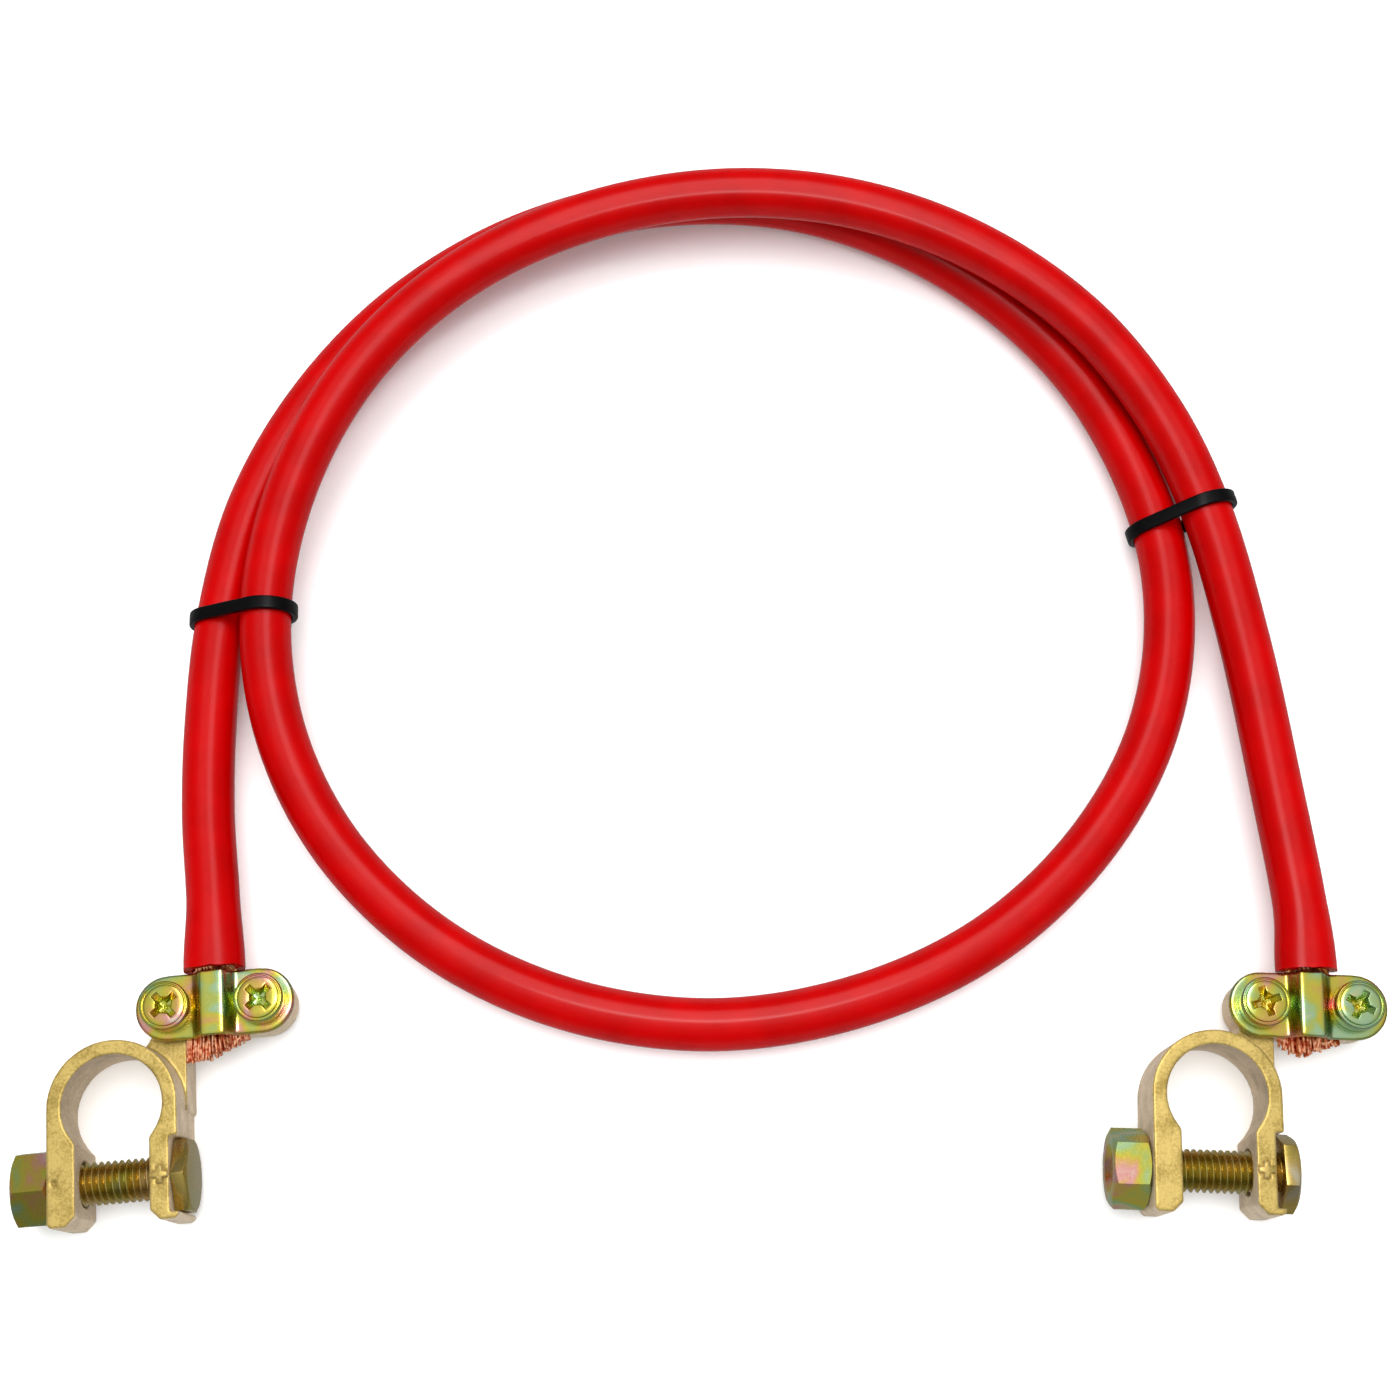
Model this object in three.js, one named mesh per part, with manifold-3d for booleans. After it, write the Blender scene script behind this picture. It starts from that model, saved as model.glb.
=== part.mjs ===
// A red battery cable, wound one and a half turns and lying flat, with a cast post clamp at each end.
// Millimetres, +X along the row of the two clamps, +Y towards the loop, +Z up.
// The origin lies on the floor, under the middle of the two clamps.
// Each clamp is built in a frame of its own: the origin is the middle of its post bore, at floor level,
// +Y points to the cable, and the bolt runs along X.
import * as THREE from "three";
import { mergeVertices } from "three/addons/utils/BufferGeometryUtils.js";
import Module from "manifold-3d";

// The gap that touching pieces keep, and how far a cut runs past the faces that it opens.
const GAP = 0.3;
const CUT_PAST = 1;

// Cable, 25 square millimetres.
const JACKET_RADIUS = 5;
const JACKET_WALL = 1.3;
const CORE_CLEARANCE = 0.4;
const CABLE_ABOVE_ARM = 2;
const JACKET_SIDES = 12;
const BORE_SIDES = 10;
const CORE_SIDES = 8;
const CABLE_STEPS = 60;

// Casting: ring, jaws, arm and saddle pad.
const CLAMP_HEIGHT = 15;
const BORE_TOP_RADIUS = 9.15;
const BORE_TAPER = 1 / 18;
const RING_WALL = 2.75;
const JAW_GAP = 13.4;
const SHOULDER_Y = -6.5;
const SHOULDER_RISE = 2.6;
const SHOULDER_SPREAD = 1.4;
const BOLT_Y = -13.2;
const JAW_BEYOND_BOLT = 8;
const JAW_INNER_CHAMFER = 1.8;
const JAW_OUTER_CHAMFER = 0.7;
const RECESS_DEPTH = 1.6;
const ARM_PROUD = 0.5;
const ARM_HEIGHT = 8;
const ARM_WIDTH = 6.5;
const ARM_START_Y = -1.4;
const ARM_FLARE = 1.4;
const ARM_STRAIGHT_BEYOND_RING = 0.8;
const PAD_RADIUS = 5.6;
const PAD_BOTTOM = 2;

// Saddle: a pressed strap and two cross recess screws, M5.
const SADDLE_X = 18.4;
const SADDLE_Y = 17.5;
const SCREW_PITCH = 17.4;
const STRAP_RADIUS = 6.1;
const STRAP_THICKNESS = 1.6;
const STRAP_LIFT = 1.4;
const HUMP_RISE = 2.9;
const HUMP_TOP_HALF = 1.9;
const HUMP_WALL = 0.9;
const HUMP_HEAD_CLEARANCE = 0.1;
const SCREW_RADIUS = 2.5;
const SCREW_LENGTH = 10;
const SCREW_TIP_CHAMFER = 0.5;
const SCREW_HEAD_RADIUS = 4.6;
const SCREW_HEAD_SIDE = 1.6;
const SCREW_HEAD_HEIGHT = 3.5;
const SCREW_HEAD_ROUND = 1;
const RECESS_SPAN = 5;
const RECESS_SLOT = 1.2;
const CROSS_DEPTH = 2;

// Clamp bolt and nut, M8.
const BOLT_RADIUS = 4;
const BOLT_LENGTH = 30;
const HEX_FLATS = 12.9;
const HEAD_THICKNESS = 2.9;
const NUT_THICKNESS = 6.8;
const HEAD_CLEARANCE = 0.3;

// Bare conductor under the strap, squeezed flat.
const STUB_OFF_SCREW = 0.4;
const STUB_BITE = 0.2;
const STUB_BEYOND_STRAP = 2.6;
const JACKET_OFF_STRAP = 1;

// Cable ties.
const TIE_CLEARANCE = 0.5;
const TIE_WIDTH = 2.7;
const TIE_THICKNESS = 1.2;
const TIE_HEAD_LENGTH = 5;
const TIE_HEAD_WIDTH = 4.4;
const TIE_HEAD_HEIGHT = 3.4;
const TIE_HEAD_SHIFT = 2.4;

// How each clamp lies: its turn, how far its bolt is pulled out, and the turns of its hexagons and of its
// saddle screws, the one near the ring first. All turns are in degrees.
const LEFT_CLAMP = { turn: 5, boltOut: 0, headTurn: 0, nutTurn: 8, screwTurns: [40, 43] };
const RIGHT_CLAMP = { turn: -2, boltOut: 1.7, headTurn: 20, nutTurn: 38, screwTurns: [19, 63] };

// How finely round shapes are cut.
const BAR_SIDES = 20;
const HOLE_SIDES = 16;
const BORE_CONE_SIDES = 40;
const RING_SEGMENTS = 20;
const SADDLE_SEGMENTS = 10;
const TIE_SEGMENTS = 12;
const HUMP_SEGMENTS = 6;
const CROWN_SEGMENTS = 3;

// Sizes that follow from the ones above.
const JACKET_BORE_RADIUS = JACKET_RADIUS - JACKET_WALL;
const CORE_RADIUS = JACKET_BORE_RADIUS - CORE_CLEARANCE;
const RING_RADIUS = BORE_TOP_RADIUS + RING_WALL;
const BOLT_Z = CLAMP_HEIGHT / 2;
const JAW_END_Y = BOLT_Y - JAW_BEYOND_BOLT;
const RECESS_X = RING_RADIUS - RECESS_DEPTH;
const ARM_RIGHT = RING_RADIUS + ARM_PROUD;
const ARM_LEFT = ARM_RIGHT - ARM_WIDTH;
const STRAP_UNDERSIDE = ARM_HEIGHT + STRAP_LIFT;
const STRAP_TOP = STRAP_UNDERSIDE + STRAP_THICKNESS;
const HUMP_FOOT_HALF = SCREW_PITCH / 2 - SCREW_HEAD_RADIUS - HUMP_HEAD_CLEARANCE;
const HEX_RADIUS = HEX_FLATS / Math.sqrt(3);
const CABLE_END_Y = SADDLE_Y + STRAP_RADIUS + JACKET_OFF_STRAP;
const CABLE_END_Z = ARM_HEIGHT + CABLE_ABOVE_ARM;
const STUB_HALF_WIDTH = SCREW_PITCH / 2 - SCREW_RADIUS - STUB_OFF_SCREW;

// The points of the route that each tie holds together, on the lower and on the upper strand.
const LEFT_TIED = { lower: [-96.1, 93.3, 6.7], upper: [-86.5, 93.6, 11.7] };
const RIGHT_TIED = { lower: [90.2, 112.8, 6.7], upper: [98.8, 115.1, 12.4] };

// The cable's route from the left clamp to the right one, chosen by hand along the middle of the cable.
// It runs up the outside, under itself at the far side, once round, over itself, and down to the right
// clamp.
const ROUTE = [
  [-92.5, 23.7, CABLE_END_Z],
  [-93.7, 37, 9.5],
  [-96, 54, 8],
  [-96.9, 73, 7],
  LEFT_TIED.lower,
  [-91.5, 118, 6.1],
  [-80.5, 141.5, 5.4],
  [-63.5, 162, 5.2],
  [-40.5, 177.7, 5.2],
  [-13.5, 186.2, 5.2],
  [15, 186.3, 5.2],
  [40.5, 178, 5.2],
  [62.3, 163, 5.2],
  [79.5, 141.7, 5.6],
  RIGHT_TIED.lower,
  [91.3, 89, 6.2],
  [85.5, 67, 5.4],
  [72, 46, 5.2],
  [52.5, 28.9, 5.2],
  [28, 17.9, 5.2],
  [0.5, 13.6, 5.2],
  [-27.5, 17.8, 5.2],
  [-52, 29.5, 5.2],
  [-71.5, 48, 6],
  [-82.8, 69.5, 8.6],
  LEFT_TIED.upper,
  [-82, 119.5, 14.2],
  [-70, 143.8, 15.5],
  [-51, 163.7, 15.7],
  [-27, 176.8, 15.7],
  [1, 183, 15.7],
  [29, 181, 15.7],
  [54.5, 171.2, 15.6],
  [76, 154.7, 15.2],
  [90.3, 135, 14.1],
  RIGHT_TIED.upper,
  [105, 88, 10.8],
  [109.2, 59, 10.1],
  [112.2, 33.5, 10],
  [112.3, 23.4, CABLE_END_Z],
];

const wasm = await Module();
wasm.setup();

const MATERIALS = {
  jacket: new THREE.MeshStandardMaterial({ color: 0xd01010, roughness: 0.35, metalness: 0 }),
  copper: new THREE.MeshStandardMaterial({ color: 0xd98a66, roughness: 0.35, metalness: 1 }),
  casting: new THREE.MeshStandardMaterial({ color: 0xd8c878, roughness: 0.5, metalness: 1 }),
  plated: new THREE.MeshStandardMaterial({ color: 0xc9bd72, roughness: 0.3, metalness: 1 }),
  tie: new THREE.MeshStandardMaterial({ color: 0x151515, roughness: 0.45, metalness: 0 }),
};

// A closed geometry as a solid that can be joined and cut.
function solid(geometry) {
  const bare = geometry.index ? geometry.toNonIndexed() : geometry.clone();
  bare.deleteAttribute("normal");
  bare.deleteAttribute("uv");
  const merged = mergeVertices(bare, 1e-4);
  return new wasm.Manifold(
    new wasm.Mesh({
      numProp: 3,
      vertProperties: merged.attributes.position.array,
      triVerts: new Uint32Array(merged.index.array),
    }),
  );
}

// A solid as a named mesh.
function meshOf(body, name, material) {
  const data = body.getMesh();
  const geometry = new THREE.BufferGeometry();
  geometry.setAttribute("position", new THREE.BufferAttribute(data.vertProperties, 3));
  geometry.setIndex(new THREE.BufferAttribute(data.triVerts, 1));
  geometry.computeVertexNormals();
  const mesh = new THREE.Mesh(geometry, material);
  mesh.name = name;
  return mesh;
}

// A box between two corners.
function block(low, high) {
  const size = high.map((value, axis) => value - low[axis]);
  const middle = high.map((value, axis) => (value + low[axis]) / 2);
  return solid(new THREE.BoxGeometry(...size).translate(...middle));
}

// An outline in the XY plane, raised from one height to another.
function prism(shape, bottom, top, curveSegments = RING_SEGMENTS) {
  const options = { depth: top - bottom, bevelEnabled: false, curveSegments };
  return solid(new THREE.ExtrudeGeometry(shape, options).translate(0, 0, bottom));
}

function outline(points) {
  return new THREE.Shape(points.map(([x, y]) => new THREE.Vector2(x, y)));
}

// A stadium round the line between the two screws.
function stadium(radius, bottom, top) {
  const shape = new THREE.Shape();
  const half = SCREW_PITCH / 2;
  shape.absarc(SADDLE_X + half, SADDLE_Y, radius, -Math.PI / 2, Math.PI / 2, false);
  shape.absarc(SADDLE_X - half, SADDLE_Y, radius, Math.PI / 2, Math.PI * 1.5, false);
  shape.closePath();
  return prism(shape, bottom, top, SADDLE_SEGMENTS);
}

// A turned solid about the Z axis from a profile of [radius, height] pairs.
function turned(profile) {
  const points = profile.map(([r, z]) => new THREE.Vector2(r, z));
  return solid(new THREE.LatheGeometry(points, BAR_SIDES).rotateX(Math.PI / 2));
}

// A screw's hole at one place on the saddle, upwards from a height.
function screwHole(x, bottom, height) {
  const radius = SCREW_RADIUS + GAP;
  const hole = new THREE.CylinderGeometry(radius, radius, height, HOLE_SIDES);
  return solid(hole.rotateX(Math.PI / 2).translate(x, SADDLE_Y, bottom + height / 2));
}

// A round bar along X, between two places on the bolt's axis.
function barAlongX(radius, from, to) {
  const bar = new THREE.CylinderGeometry(radius, radius, to - from, BAR_SIDES);
  return solid(bar.rotateZ(Math.PI / 2).translate((from + to) / 2, BOLT_Y, BOLT_Z));
}

// A hexagon along X with a corner up, turned by some degrees about the bolt's axis.
function hexagonAlongX(from, to, degrees) {
  const hexagon = new THREE.CylinderGeometry(HEX_RADIUS, HEX_RADIUS, to - from, 6);
  hexagon.rotateZ(Math.PI / 2);
  hexagon.rotateX(THREE.MathUtils.degToRad(degrees));
  return solid(hexagon.translate((from + to) / 2, BOLT_Y, BOLT_Z));
}

// The ring and the two jaws from above, without the bore and the gap between the jaws.
function ringAndJaws() {
  const shape = new THREE.Shape();
  const half = JAW_GAP / 2;
  shape.moveTo(-RING_RADIUS, 0);
  shape.lineTo(-RING_RADIUS, JAW_END_Y + JAW_OUTER_CHAMFER);
  shape.lineTo(-RING_RADIUS + JAW_OUTER_CHAMFER, JAW_END_Y);
  shape.lineTo(-half - JAW_INNER_CHAMFER, JAW_END_Y);
  shape.lineTo(-half, JAW_END_Y + JAW_INNER_CHAMFER);
  shape.lineTo(-half, SHOULDER_Y);
  shape.lineTo(half, SHOULDER_Y);
  shape.lineTo(half, JAW_END_Y + JAW_INNER_CHAMFER);
  shape.lineTo(half + JAW_INNER_CHAMFER, JAW_END_Y);
  shape.lineTo(RING_RADIUS - JAW_OUTER_CHAMFER, JAW_END_Y);
  shape.lineTo(RING_RADIUS, JAW_END_Y + JAW_OUTER_CHAMFER);
  shape.lineTo(RING_RADIUS, 0);
  shape.absarc(0, 0, RING_RADIUS, 0, Math.PI, false);
  return prism(shape, 0, CLAMP_HEIGHT);
}

// The tapered post bore, wider below, run past both faces.
function postBore() {
  const height = CLAMP_HEIGHT + 2 * CUT_PAST;
  const below = BORE_TOP_RADIUS + (CLAMP_HEIGHT + CUT_PAST) * BORE_TAPER;
  const above = BORE_TOP_RADIUS - CUT_PAST * BORE_TAPER;
  const cone = new THREE.CylinderGeometry(above, below, height, BORE_CONE_SIDES);
  return solid(cone.rotateX(Math.PI / 2).translate(0, 0, CLAMP_HEIGHT / 2));
}

// The sloping shoulders that lead from the bore into the gap between the jaws.
function shoulders() {
  const narrow = JAW_GAP / 2;
  const wide = narrow + SHOULDER_SPREAD;
  const top = SHOULDER_Y + SHOULDER_RISE;
  const sides = outline([
    [-narrow, SHOULDER_Y - CUT_PAST],
    [narrow, SHOULDER_Y - CUT_PAST],
    [narrow, SHOULDER_Y],
    [wide, top],
    [-wide, top],
    [-narrow, SHOULDER_Y],
  ]);
  return prism(sides, -CUT_PAST, CLAMP_HEIGHT + CUT_PAST);
}

// The arm: a plate along the ring's side that runs up to the saddle pad.
function arm() {
  const edge = outline([
    [ARM_RIGHT, ARM_START_Y],
    [ARM_RIGHT, SADDLE_Y],
    [ARM_LEFT, SADDLE_Y],
    [ARM_LEFT, RING_RADIUS + ARM_STRAIGHT_BEYOND_RING],
    [ARM_LEFT - ARM_FLARE, RING_RADIUS - ARM_FLARE],
    [RING_RADIUS - RING_WALL, ARM_START_Y],
  ]);
  return prism(edge, 0, ARM_HEIGHT);
}

function screwCentres() {
  return [SADDLE_X - SCREW_PITCH / 2, SADDLE_X + SCREW_PITCH / 2];
}

function clampBody() {
  let body = ringAndJaws().add(arm()).add(stadium(PAD_RADIUS, PAD_BOTTOM, ARM_HEIGHT));
  body = body.subtract(postBore()).subtract(shoulders());
  const halfHead = HEX_FLATS / 2 + HEAD_CLEARANCE;
  const recess = block(
    [RECESS_X, BOLT_Y - halfHead, -CUT_PAST],
    [ARM_RIGHT + CUT_PAST, BOLT_Y + halfHead, CLAMP_HEIGHT + CUT_PAST],
  );
  body = body.subtract(recess);
  const past = RING_RADIUS + CUT_PAST;
  body = body.subtract(barAlongX(BOLT_RADIUS + GAP, -past, past));
  for (const x of screwCentres()) {
    body = body.subtract(screwHole(x, -CUT_PAST, ARM_HEIGHT + 2 * CUT_PAST));
  }
  return body;
}

// The hump's curve as [x, rise] pairs across the saddle, from left to right, drawn in by an inset.
function humpCurve(inset) {
  const right = [];
  for (let i = 0; i <= HUMP_SEGMENTS; i++) {
    const share = i / HUMP_SEGMENTS;
    const x = HUMP_TOP_HALF + (HUMP_FOOT_HALF - HUMP_TOP_HALF) * share - inset;
    right.push([x, (HUMP_RISE * (1 + Math.cos(Math.PI * share))) / 2]);
  }
  return [...right.map(([x, rise]) => [-x, rise]).reverse(), ...right];
}

// A profile across the saddle, in X and Z, pushed along Y.
function acrossSaddle(points, fromY, toY) {
  const slab = new THREE.ExtrudeGeometry(outline(points), { depth: toY - fromY, bevelEnabled: false });
  return solid(slab.rotateX(Math.PI / 2).translate(SADDLE_X, toY, 0));
}

function saddleStrap() {
  const margin = STRAP_RADIUS + CUT_PAST;
  const end = SCREW_PITCH / 2 + margin;
  const face = (inset, height) =>
    [[-end, 0], ...humpCurve(inset), [end, 0]].map(([x, rise]) => [x, height + rise]);
  const profile = [...face(HUMP_WALL, STRAP_UNDERSIDE), ...face(0, STRAP_TOP).reverse()];
  const bent = acrossSaddle(profile, SADDLE_Y - margin, SADDLE_Y + margin);
  let strap = bent.intersect(stadium(STRAP_RADIUS, ARM_HEIGHT, STRAP_TOP + HUMP_RISE + CUT_PAST));
  for (const x of screwCentres()) {
    strap = strap.subtract(screwHole(x, ARM_HEIGHT, STRAP_TOP));
  }
  return strap;
}

// The bare conductor between pad and strap, squeezed into the hump, and its cut end beyond.
function conductorStub() {
  const curve = [[-STUB_HALF_WIDTH, 0], ...humpCurve(HUMP_WALL + GAP), [STUB_HALF_WIDTH, 0]];
  const top = curve.map(([x, rise]) => [x, STRAP_UNDERSIDE - GAP + rise]).reverse();
  const bottom = [[-STUB_HALF_WIDTH, ARM_HEIGHT + GAP], [STUB_HALF_WIDTH, ARM_HEIGHT + GAP]];
  const fromY = SADDLE_Y - STRAP_RADIUS - STUB_BEYOND_STRAP;
  return acrossSaddle([...bottom, ...top], fromY, CABLE_END_Y - GAP);
}

function saddleScrew(x, turn) {
  const seat = STRAP_TOP + GAP;
  const tip = seat - SCREW_LENGTH;
  const side = seat + SCREW_HEAD_SIDE;
  const crown = seat + SCREW_HEAD_HEIGHT;
  const profile = [
    [0, tip],
    [SCREW_RADIUS - SCREW_TIP_CHAMFER, tip],
    [SCREW_RADIUS, tip + SCREW_TIP_CHAMFER],
    [SCREW_RADIUS, seat],
    [SCREW_HEAD_RADIUS, seat],
  ];
  for (let i = 0; i <= CROWN_SEGMENTS; i++) {
    const angle = (Math.PI / 2) * (i / CROWN_SEGMENTS);
    const radius = SCREW_HEAD_RADIUS - SCREW_HEAD_ROUND * (1 - Math.cos(angle));
    profile.push([radius, side + (crown - side) * Math.sin(angle)]);
  }
  profile.push([0, crown]);
  let screw = turned(profile);
  const long = RECESS_SPAN / 2;
  const slot = RECESS_SLOT / 2;
  for (const [halfX, halfY] of [[long, slot], [slot, long]]) {
    const low = [-halfX, -halfY, crown - CROSS_DEPTH];
    screw = screw.subtract(block(low, [halfX, halfY, crown + CUT_PAST]));
  }
  return screw.rotate([0, 0, turn]).translate([x, SADDLE_Y, 0]);
}

// The bolt: a thin hexagon head outside the right jaw and a plain bar of the thread's size.
function clampBolt(headTurn) {
  const seat = RECESS_X + GAP;
  const head = hexagonAlongX(seat, seat + HEAD_THICKNESS, headTurn);
  return head.add(barAlongX(BOLT_RADIUS, seat - BOLT_LENGTH, seat + HEAD_THICKNESS / 2));
}

function clampNut(nutTurn) {
  const seat = -RING_RADIUS - GAP;
  const nut = hexagonAlongX(seat - NUT_THICKNESS, seat, nutTurn);
  const hole = barAlongX(BOLT_RADIUS + GAP, seat - NUT_THICKNESS - CUT_PAST, seat + CUT_PAST);
  return nut.subtract(hole);
}

// One clamp with its fastenings, turned and put so that its saddle meets the end of the cable.
function clamp(side, lie, end) {
  const group = new THREE.Group();
  const bolt = meshOf(clampBolt(lie.headTurn), side + "_clamp_bolt", MATERIALS.plated);
  bolt.position.x = lie.boltOut;
  group.add(bolt);
  group.add(meshOf(clampBody(), side + "_clamp_body", MATERIALS.casting));
  group.add(meshOf(clampNut(lie.nutTurn), side + "_clamp_nut", MATERIALS.plated));
  group.add(meshOf(saddleStrap(), side + "_saddle_strap", MATERIALS.plated));
  const names = ["inner", "outer"];
  screwCentres().forEach((x, index) => {
    const name = side + "_saddle_screw_" + names[index];
    group.add(meshOf(saddleScrew(x, lie.screwTurns[index]), name, MATERIALS.plated));
  });
  group.rotation.z = THREE.MathUtils.degToRad(lie.turn);
  const saddleEnd = new THREE.Vector3(SADDLE_X, CABLE_END_Y, 0).applyEuler(group.rotation);
  group.position.set(end[0] - saddleEnd.x, end[1] - saddleEnd.y, 0);
  group.updateMatrixWorld(true);
  return group;
}

// A regular polygon about the origin, as a shape or as a hole in one.
function polygon(radius, sides, Kind) {
  const points = [];
  for (let i = 0; i < sides; i++) {
    const angle = (2 * Math.PI * (i + 0.5)) / sides;
    points.push(new THREE.Vector2(radius * Math.cos(angle), radius * Math.sin(angle)));
  }
  return new Kind(points);
}

const path = new THREE.CatmullRomCurve3(ROUTE.map((point) => new THREE.Vector3(...point)));

function cableJacket() {
  const section = polygon(JACKET_RADIUS, JACKET_SIDES, THREE.Shape);
  section.holes.push(polygon(JACKET_BORE_RADIUS, BORE_SIDES, THREE.Path));
  return solid(new THREE.ExtrudeGeometry(section, { steps: CABLE_STEPS, extrudePath: path }));
}

// A solid of the round conductor's section along a curve.
function roundConductor(curve, steps) {
  const section = polygon(CORE_RADIUS, CORE_SIDES, THREE.Shape);
  return solid(new THREE.ExtrudeGeometry(section, { steps, extrudePath: curve }));
}

// The conductor across one end of the jacket, from inside it into the squeezed stub.
function conductorEnd(end, outwards) {
  const inside = end.clone().addScaledVector(outwards, -GAP);
  const outside = end.clone().addScaledVector(outwards, GAP + STUB_BITE);
  return roundConductor(new THREE.LineCurve3(inside, outside), 1);
}

// The conductor runs through the jacket and out at both ends, into the squeezed stubs.
function copperConductor(clamps) {
  let core = roundConductor(path, CABLE_STEPS);
  core = core.add(conductorEnd(path.getPoint(0), path.getTangent(0).negate()));
  core = core.add(conductorEnd(path.getPoint(1), path.getTangent(1)));
  for (const group of clamps) {
    core = core.add(conductorStub().transform(group.matrixWorld.elements));
  }
  return core;
}

// A tie: a band round two strands, drawn tight, with its head in the hollow under the upper strand.
function cableTie(tied) {
  const low = new THREE.Vector3(...tied.lower);
  const high = new THREE.Vector3(...tied.upper);
  const across = new THREE.Vector3().subVectors(high, low);
  const half = across.length() / 2;
  const xAxis = across.clone().normalize();
  const zAxis = new THREE.Vector3(-across.y, across.x, 0).normalize();
  const yAxis = new THREE.Vector3().crossVectors(zAxis, xAxis);
  const band = (radius, Kind) => {
    const shape = new Kind();
    shape.absarc(half, 0, radius, -Math.PI / 2, Math.PI / 2, false);
    shape.absarc(-half, 0, radius, Math.PI / 2, Math.PI * 1.5, false);
    shape.closePath();
    return shape;
  };
  const inside = JACKET_RADIUS + TIE_CLEARANCE;
  const loop = band(inside + TIE_THICKNESS, THREE.Shape);
  loop.holes.push(band(inside, THREE.Path));
  const below = yAxis.z > 0 ? -1 : 1;
  const headY = [below * (inside + TIE_THICKNESS / 2), below * (inside + TIE_HEAD_HEIGHT)];
  const head = block(
    [TIE_HEAD_SHIFT - TIE_HEAD_LENGTH / 2, Math.min(...headY), -TIE_HEAD_WIDTH / 2],
    [TIE_HEAD_SHIFT + TIE_HEAD_LENGTH / 2, Math.max(...headY), TIE_HEAD_WIDTH / 2],
  );
  const tie = prism(loop, -TIE_WIDTH / 2, TIE_WIDTH / 2, TIE_SEGMENTS).add(head);
  const middle = low.add(high).multiplyScalar(0.5);
  const place = new THREE.Matrix4().makeBasis(xAxis, yAxis, zAxis).setPosition(middle);
  return tie.transform(place.elements);
}

const leftClamp = clamp("left", LEFT_CLAMP, ROUTE[0]);
const rightClamp = clamp("right", RIGHT_CLAMP, ROUTE.at(-1));

const batteryCable = new THREE.Group();
batteryCable.add(leftClamp, rightClamp);
batteryCable.add(meshOf(cableJacket(), "cable_jacket", MATERIALS.jacket));
batteryCable.add(meshOf(copperConductor([leftClamp, rightClamp]), "copper_conductor", MATERIALS.copper));
batteryCable.add(meshOf(cableTie(LEFT_TIED), "cable_tie_left", MATERIALS.tie));
batteryCable.add(meshOf(cableTie(RIGHT_TIED), "cable_tie_right", MATERIALS.tie));

export default batteryCable;
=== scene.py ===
"""Blender scene of a red battery cable, wound one and a half turns, with a cast post clamp at each end.

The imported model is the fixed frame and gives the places. Shapes are drawn in millimetres, a clamp's pieces in
the clamp's own frame: origin in the middle of its post bore on the floor, +Y to the cable, the bolt along X.
Each finished mesh is turned to metres in the part's frame.
"""
import logging
import math
import random
from collections.abc import Callable, Iterable, Sequence
from dataclasses import dataclass
from enum import Enum

import bmesh
import bpy
from mathutils import Matrix, Vector, noise


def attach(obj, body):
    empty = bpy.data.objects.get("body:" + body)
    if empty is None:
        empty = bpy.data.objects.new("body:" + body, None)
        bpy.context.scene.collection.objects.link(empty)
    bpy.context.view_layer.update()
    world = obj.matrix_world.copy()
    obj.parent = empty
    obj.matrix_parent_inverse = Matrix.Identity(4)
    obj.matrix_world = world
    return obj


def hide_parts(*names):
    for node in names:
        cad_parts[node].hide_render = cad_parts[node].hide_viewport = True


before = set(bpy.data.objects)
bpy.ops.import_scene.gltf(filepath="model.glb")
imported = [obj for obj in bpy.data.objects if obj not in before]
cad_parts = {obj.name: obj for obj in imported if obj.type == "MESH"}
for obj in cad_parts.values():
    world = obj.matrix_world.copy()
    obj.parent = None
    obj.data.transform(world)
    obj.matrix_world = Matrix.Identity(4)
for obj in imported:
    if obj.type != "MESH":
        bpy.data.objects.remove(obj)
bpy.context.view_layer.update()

log = logging.getLogger("battery_cable")

MM = 0.001
CRISP_ANGLE = math.radians(32)
ROOT = "root"
GOLDEN_ANGLE = 2.39996

# Where each tie holds the cable: the strand below and the strand above.
LEFT_TIED = ((-0.0961, 0.0933, 0.0067), (-0.0865, 0.0936, 0.0117))
RIGHT_TIED = ((0.0902, 0.1128, 0.0067), (0.0988, 0.1151, 0.0124))

# The cable's route in metres, from the left clamp to the right one, along the middle of the cable.
ROUTE = (
    (-0.0925, 0.0237, 0.01),
    (-0.0937, 0.037, 0.0095),
    (-0.096, 0.054, 0.008),
    (-0.0969, 0.073, 0.007),
    LEFT_TIED[0],
    (-0.0915, 0.118, 0.0061),
    (-0.0805, 0.1415, 0.0054),
    (-0.0635, 0.162, 0.0052),
    (-0.0405, 0.1777, 0.0052),
    (-0.0135, 0.1862, 0.0052),
    (0.015, 0.1863, 0.0052),
    (0.0405, 0.178, 0.0052),
    (0.0623, 0.163, 0.0052),
    (0.0795, 0.1417, 0.0056),
    RIGHT_TIED[0],
    (0.0913, 0.089, 0.0062),
    (0.0855, 0.067, 0.0054),
    (0.072, 0.046, 0.0052),
    (0.0525, 0.0289, 0.0052),
    (0.028, 0.0179, 0.0052),
    (0.0005, 0.0136, 0.0052),
    (-0.0275, 0.0178, 0.0052),
    (-0.052, 0.0295, 0.0052),
    (-0.0715, 0.048, 0.006),
    (-0.0828, 0.0695, 0.0086),
    LEFT_TIED[1],
    (-0.082, 0.1195, 0.0142),
    (-0.07, 0.1438, 0.0155),
    (-0.051, 0.1637, 0.0157),
    (-0.027, 0.1768, 0.0157),
    (0.001, 0.183, 0.0157),
    (0.029, 0.181, 0.0157),
    (0.0545, 0.1712, 0.0156),
    (0.076, 0.1547, 0.0152),
    (0.0903, 0.135, 0.0141),
    RIGHT_TIED[1],
    (0.105, 0.088, 0.0108),
    (0.1092, 0.059, 0.0101),
    (0.1122, 0.0335, 0.01),
    (0.1123, 0.0234, 0.01),
)

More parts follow.
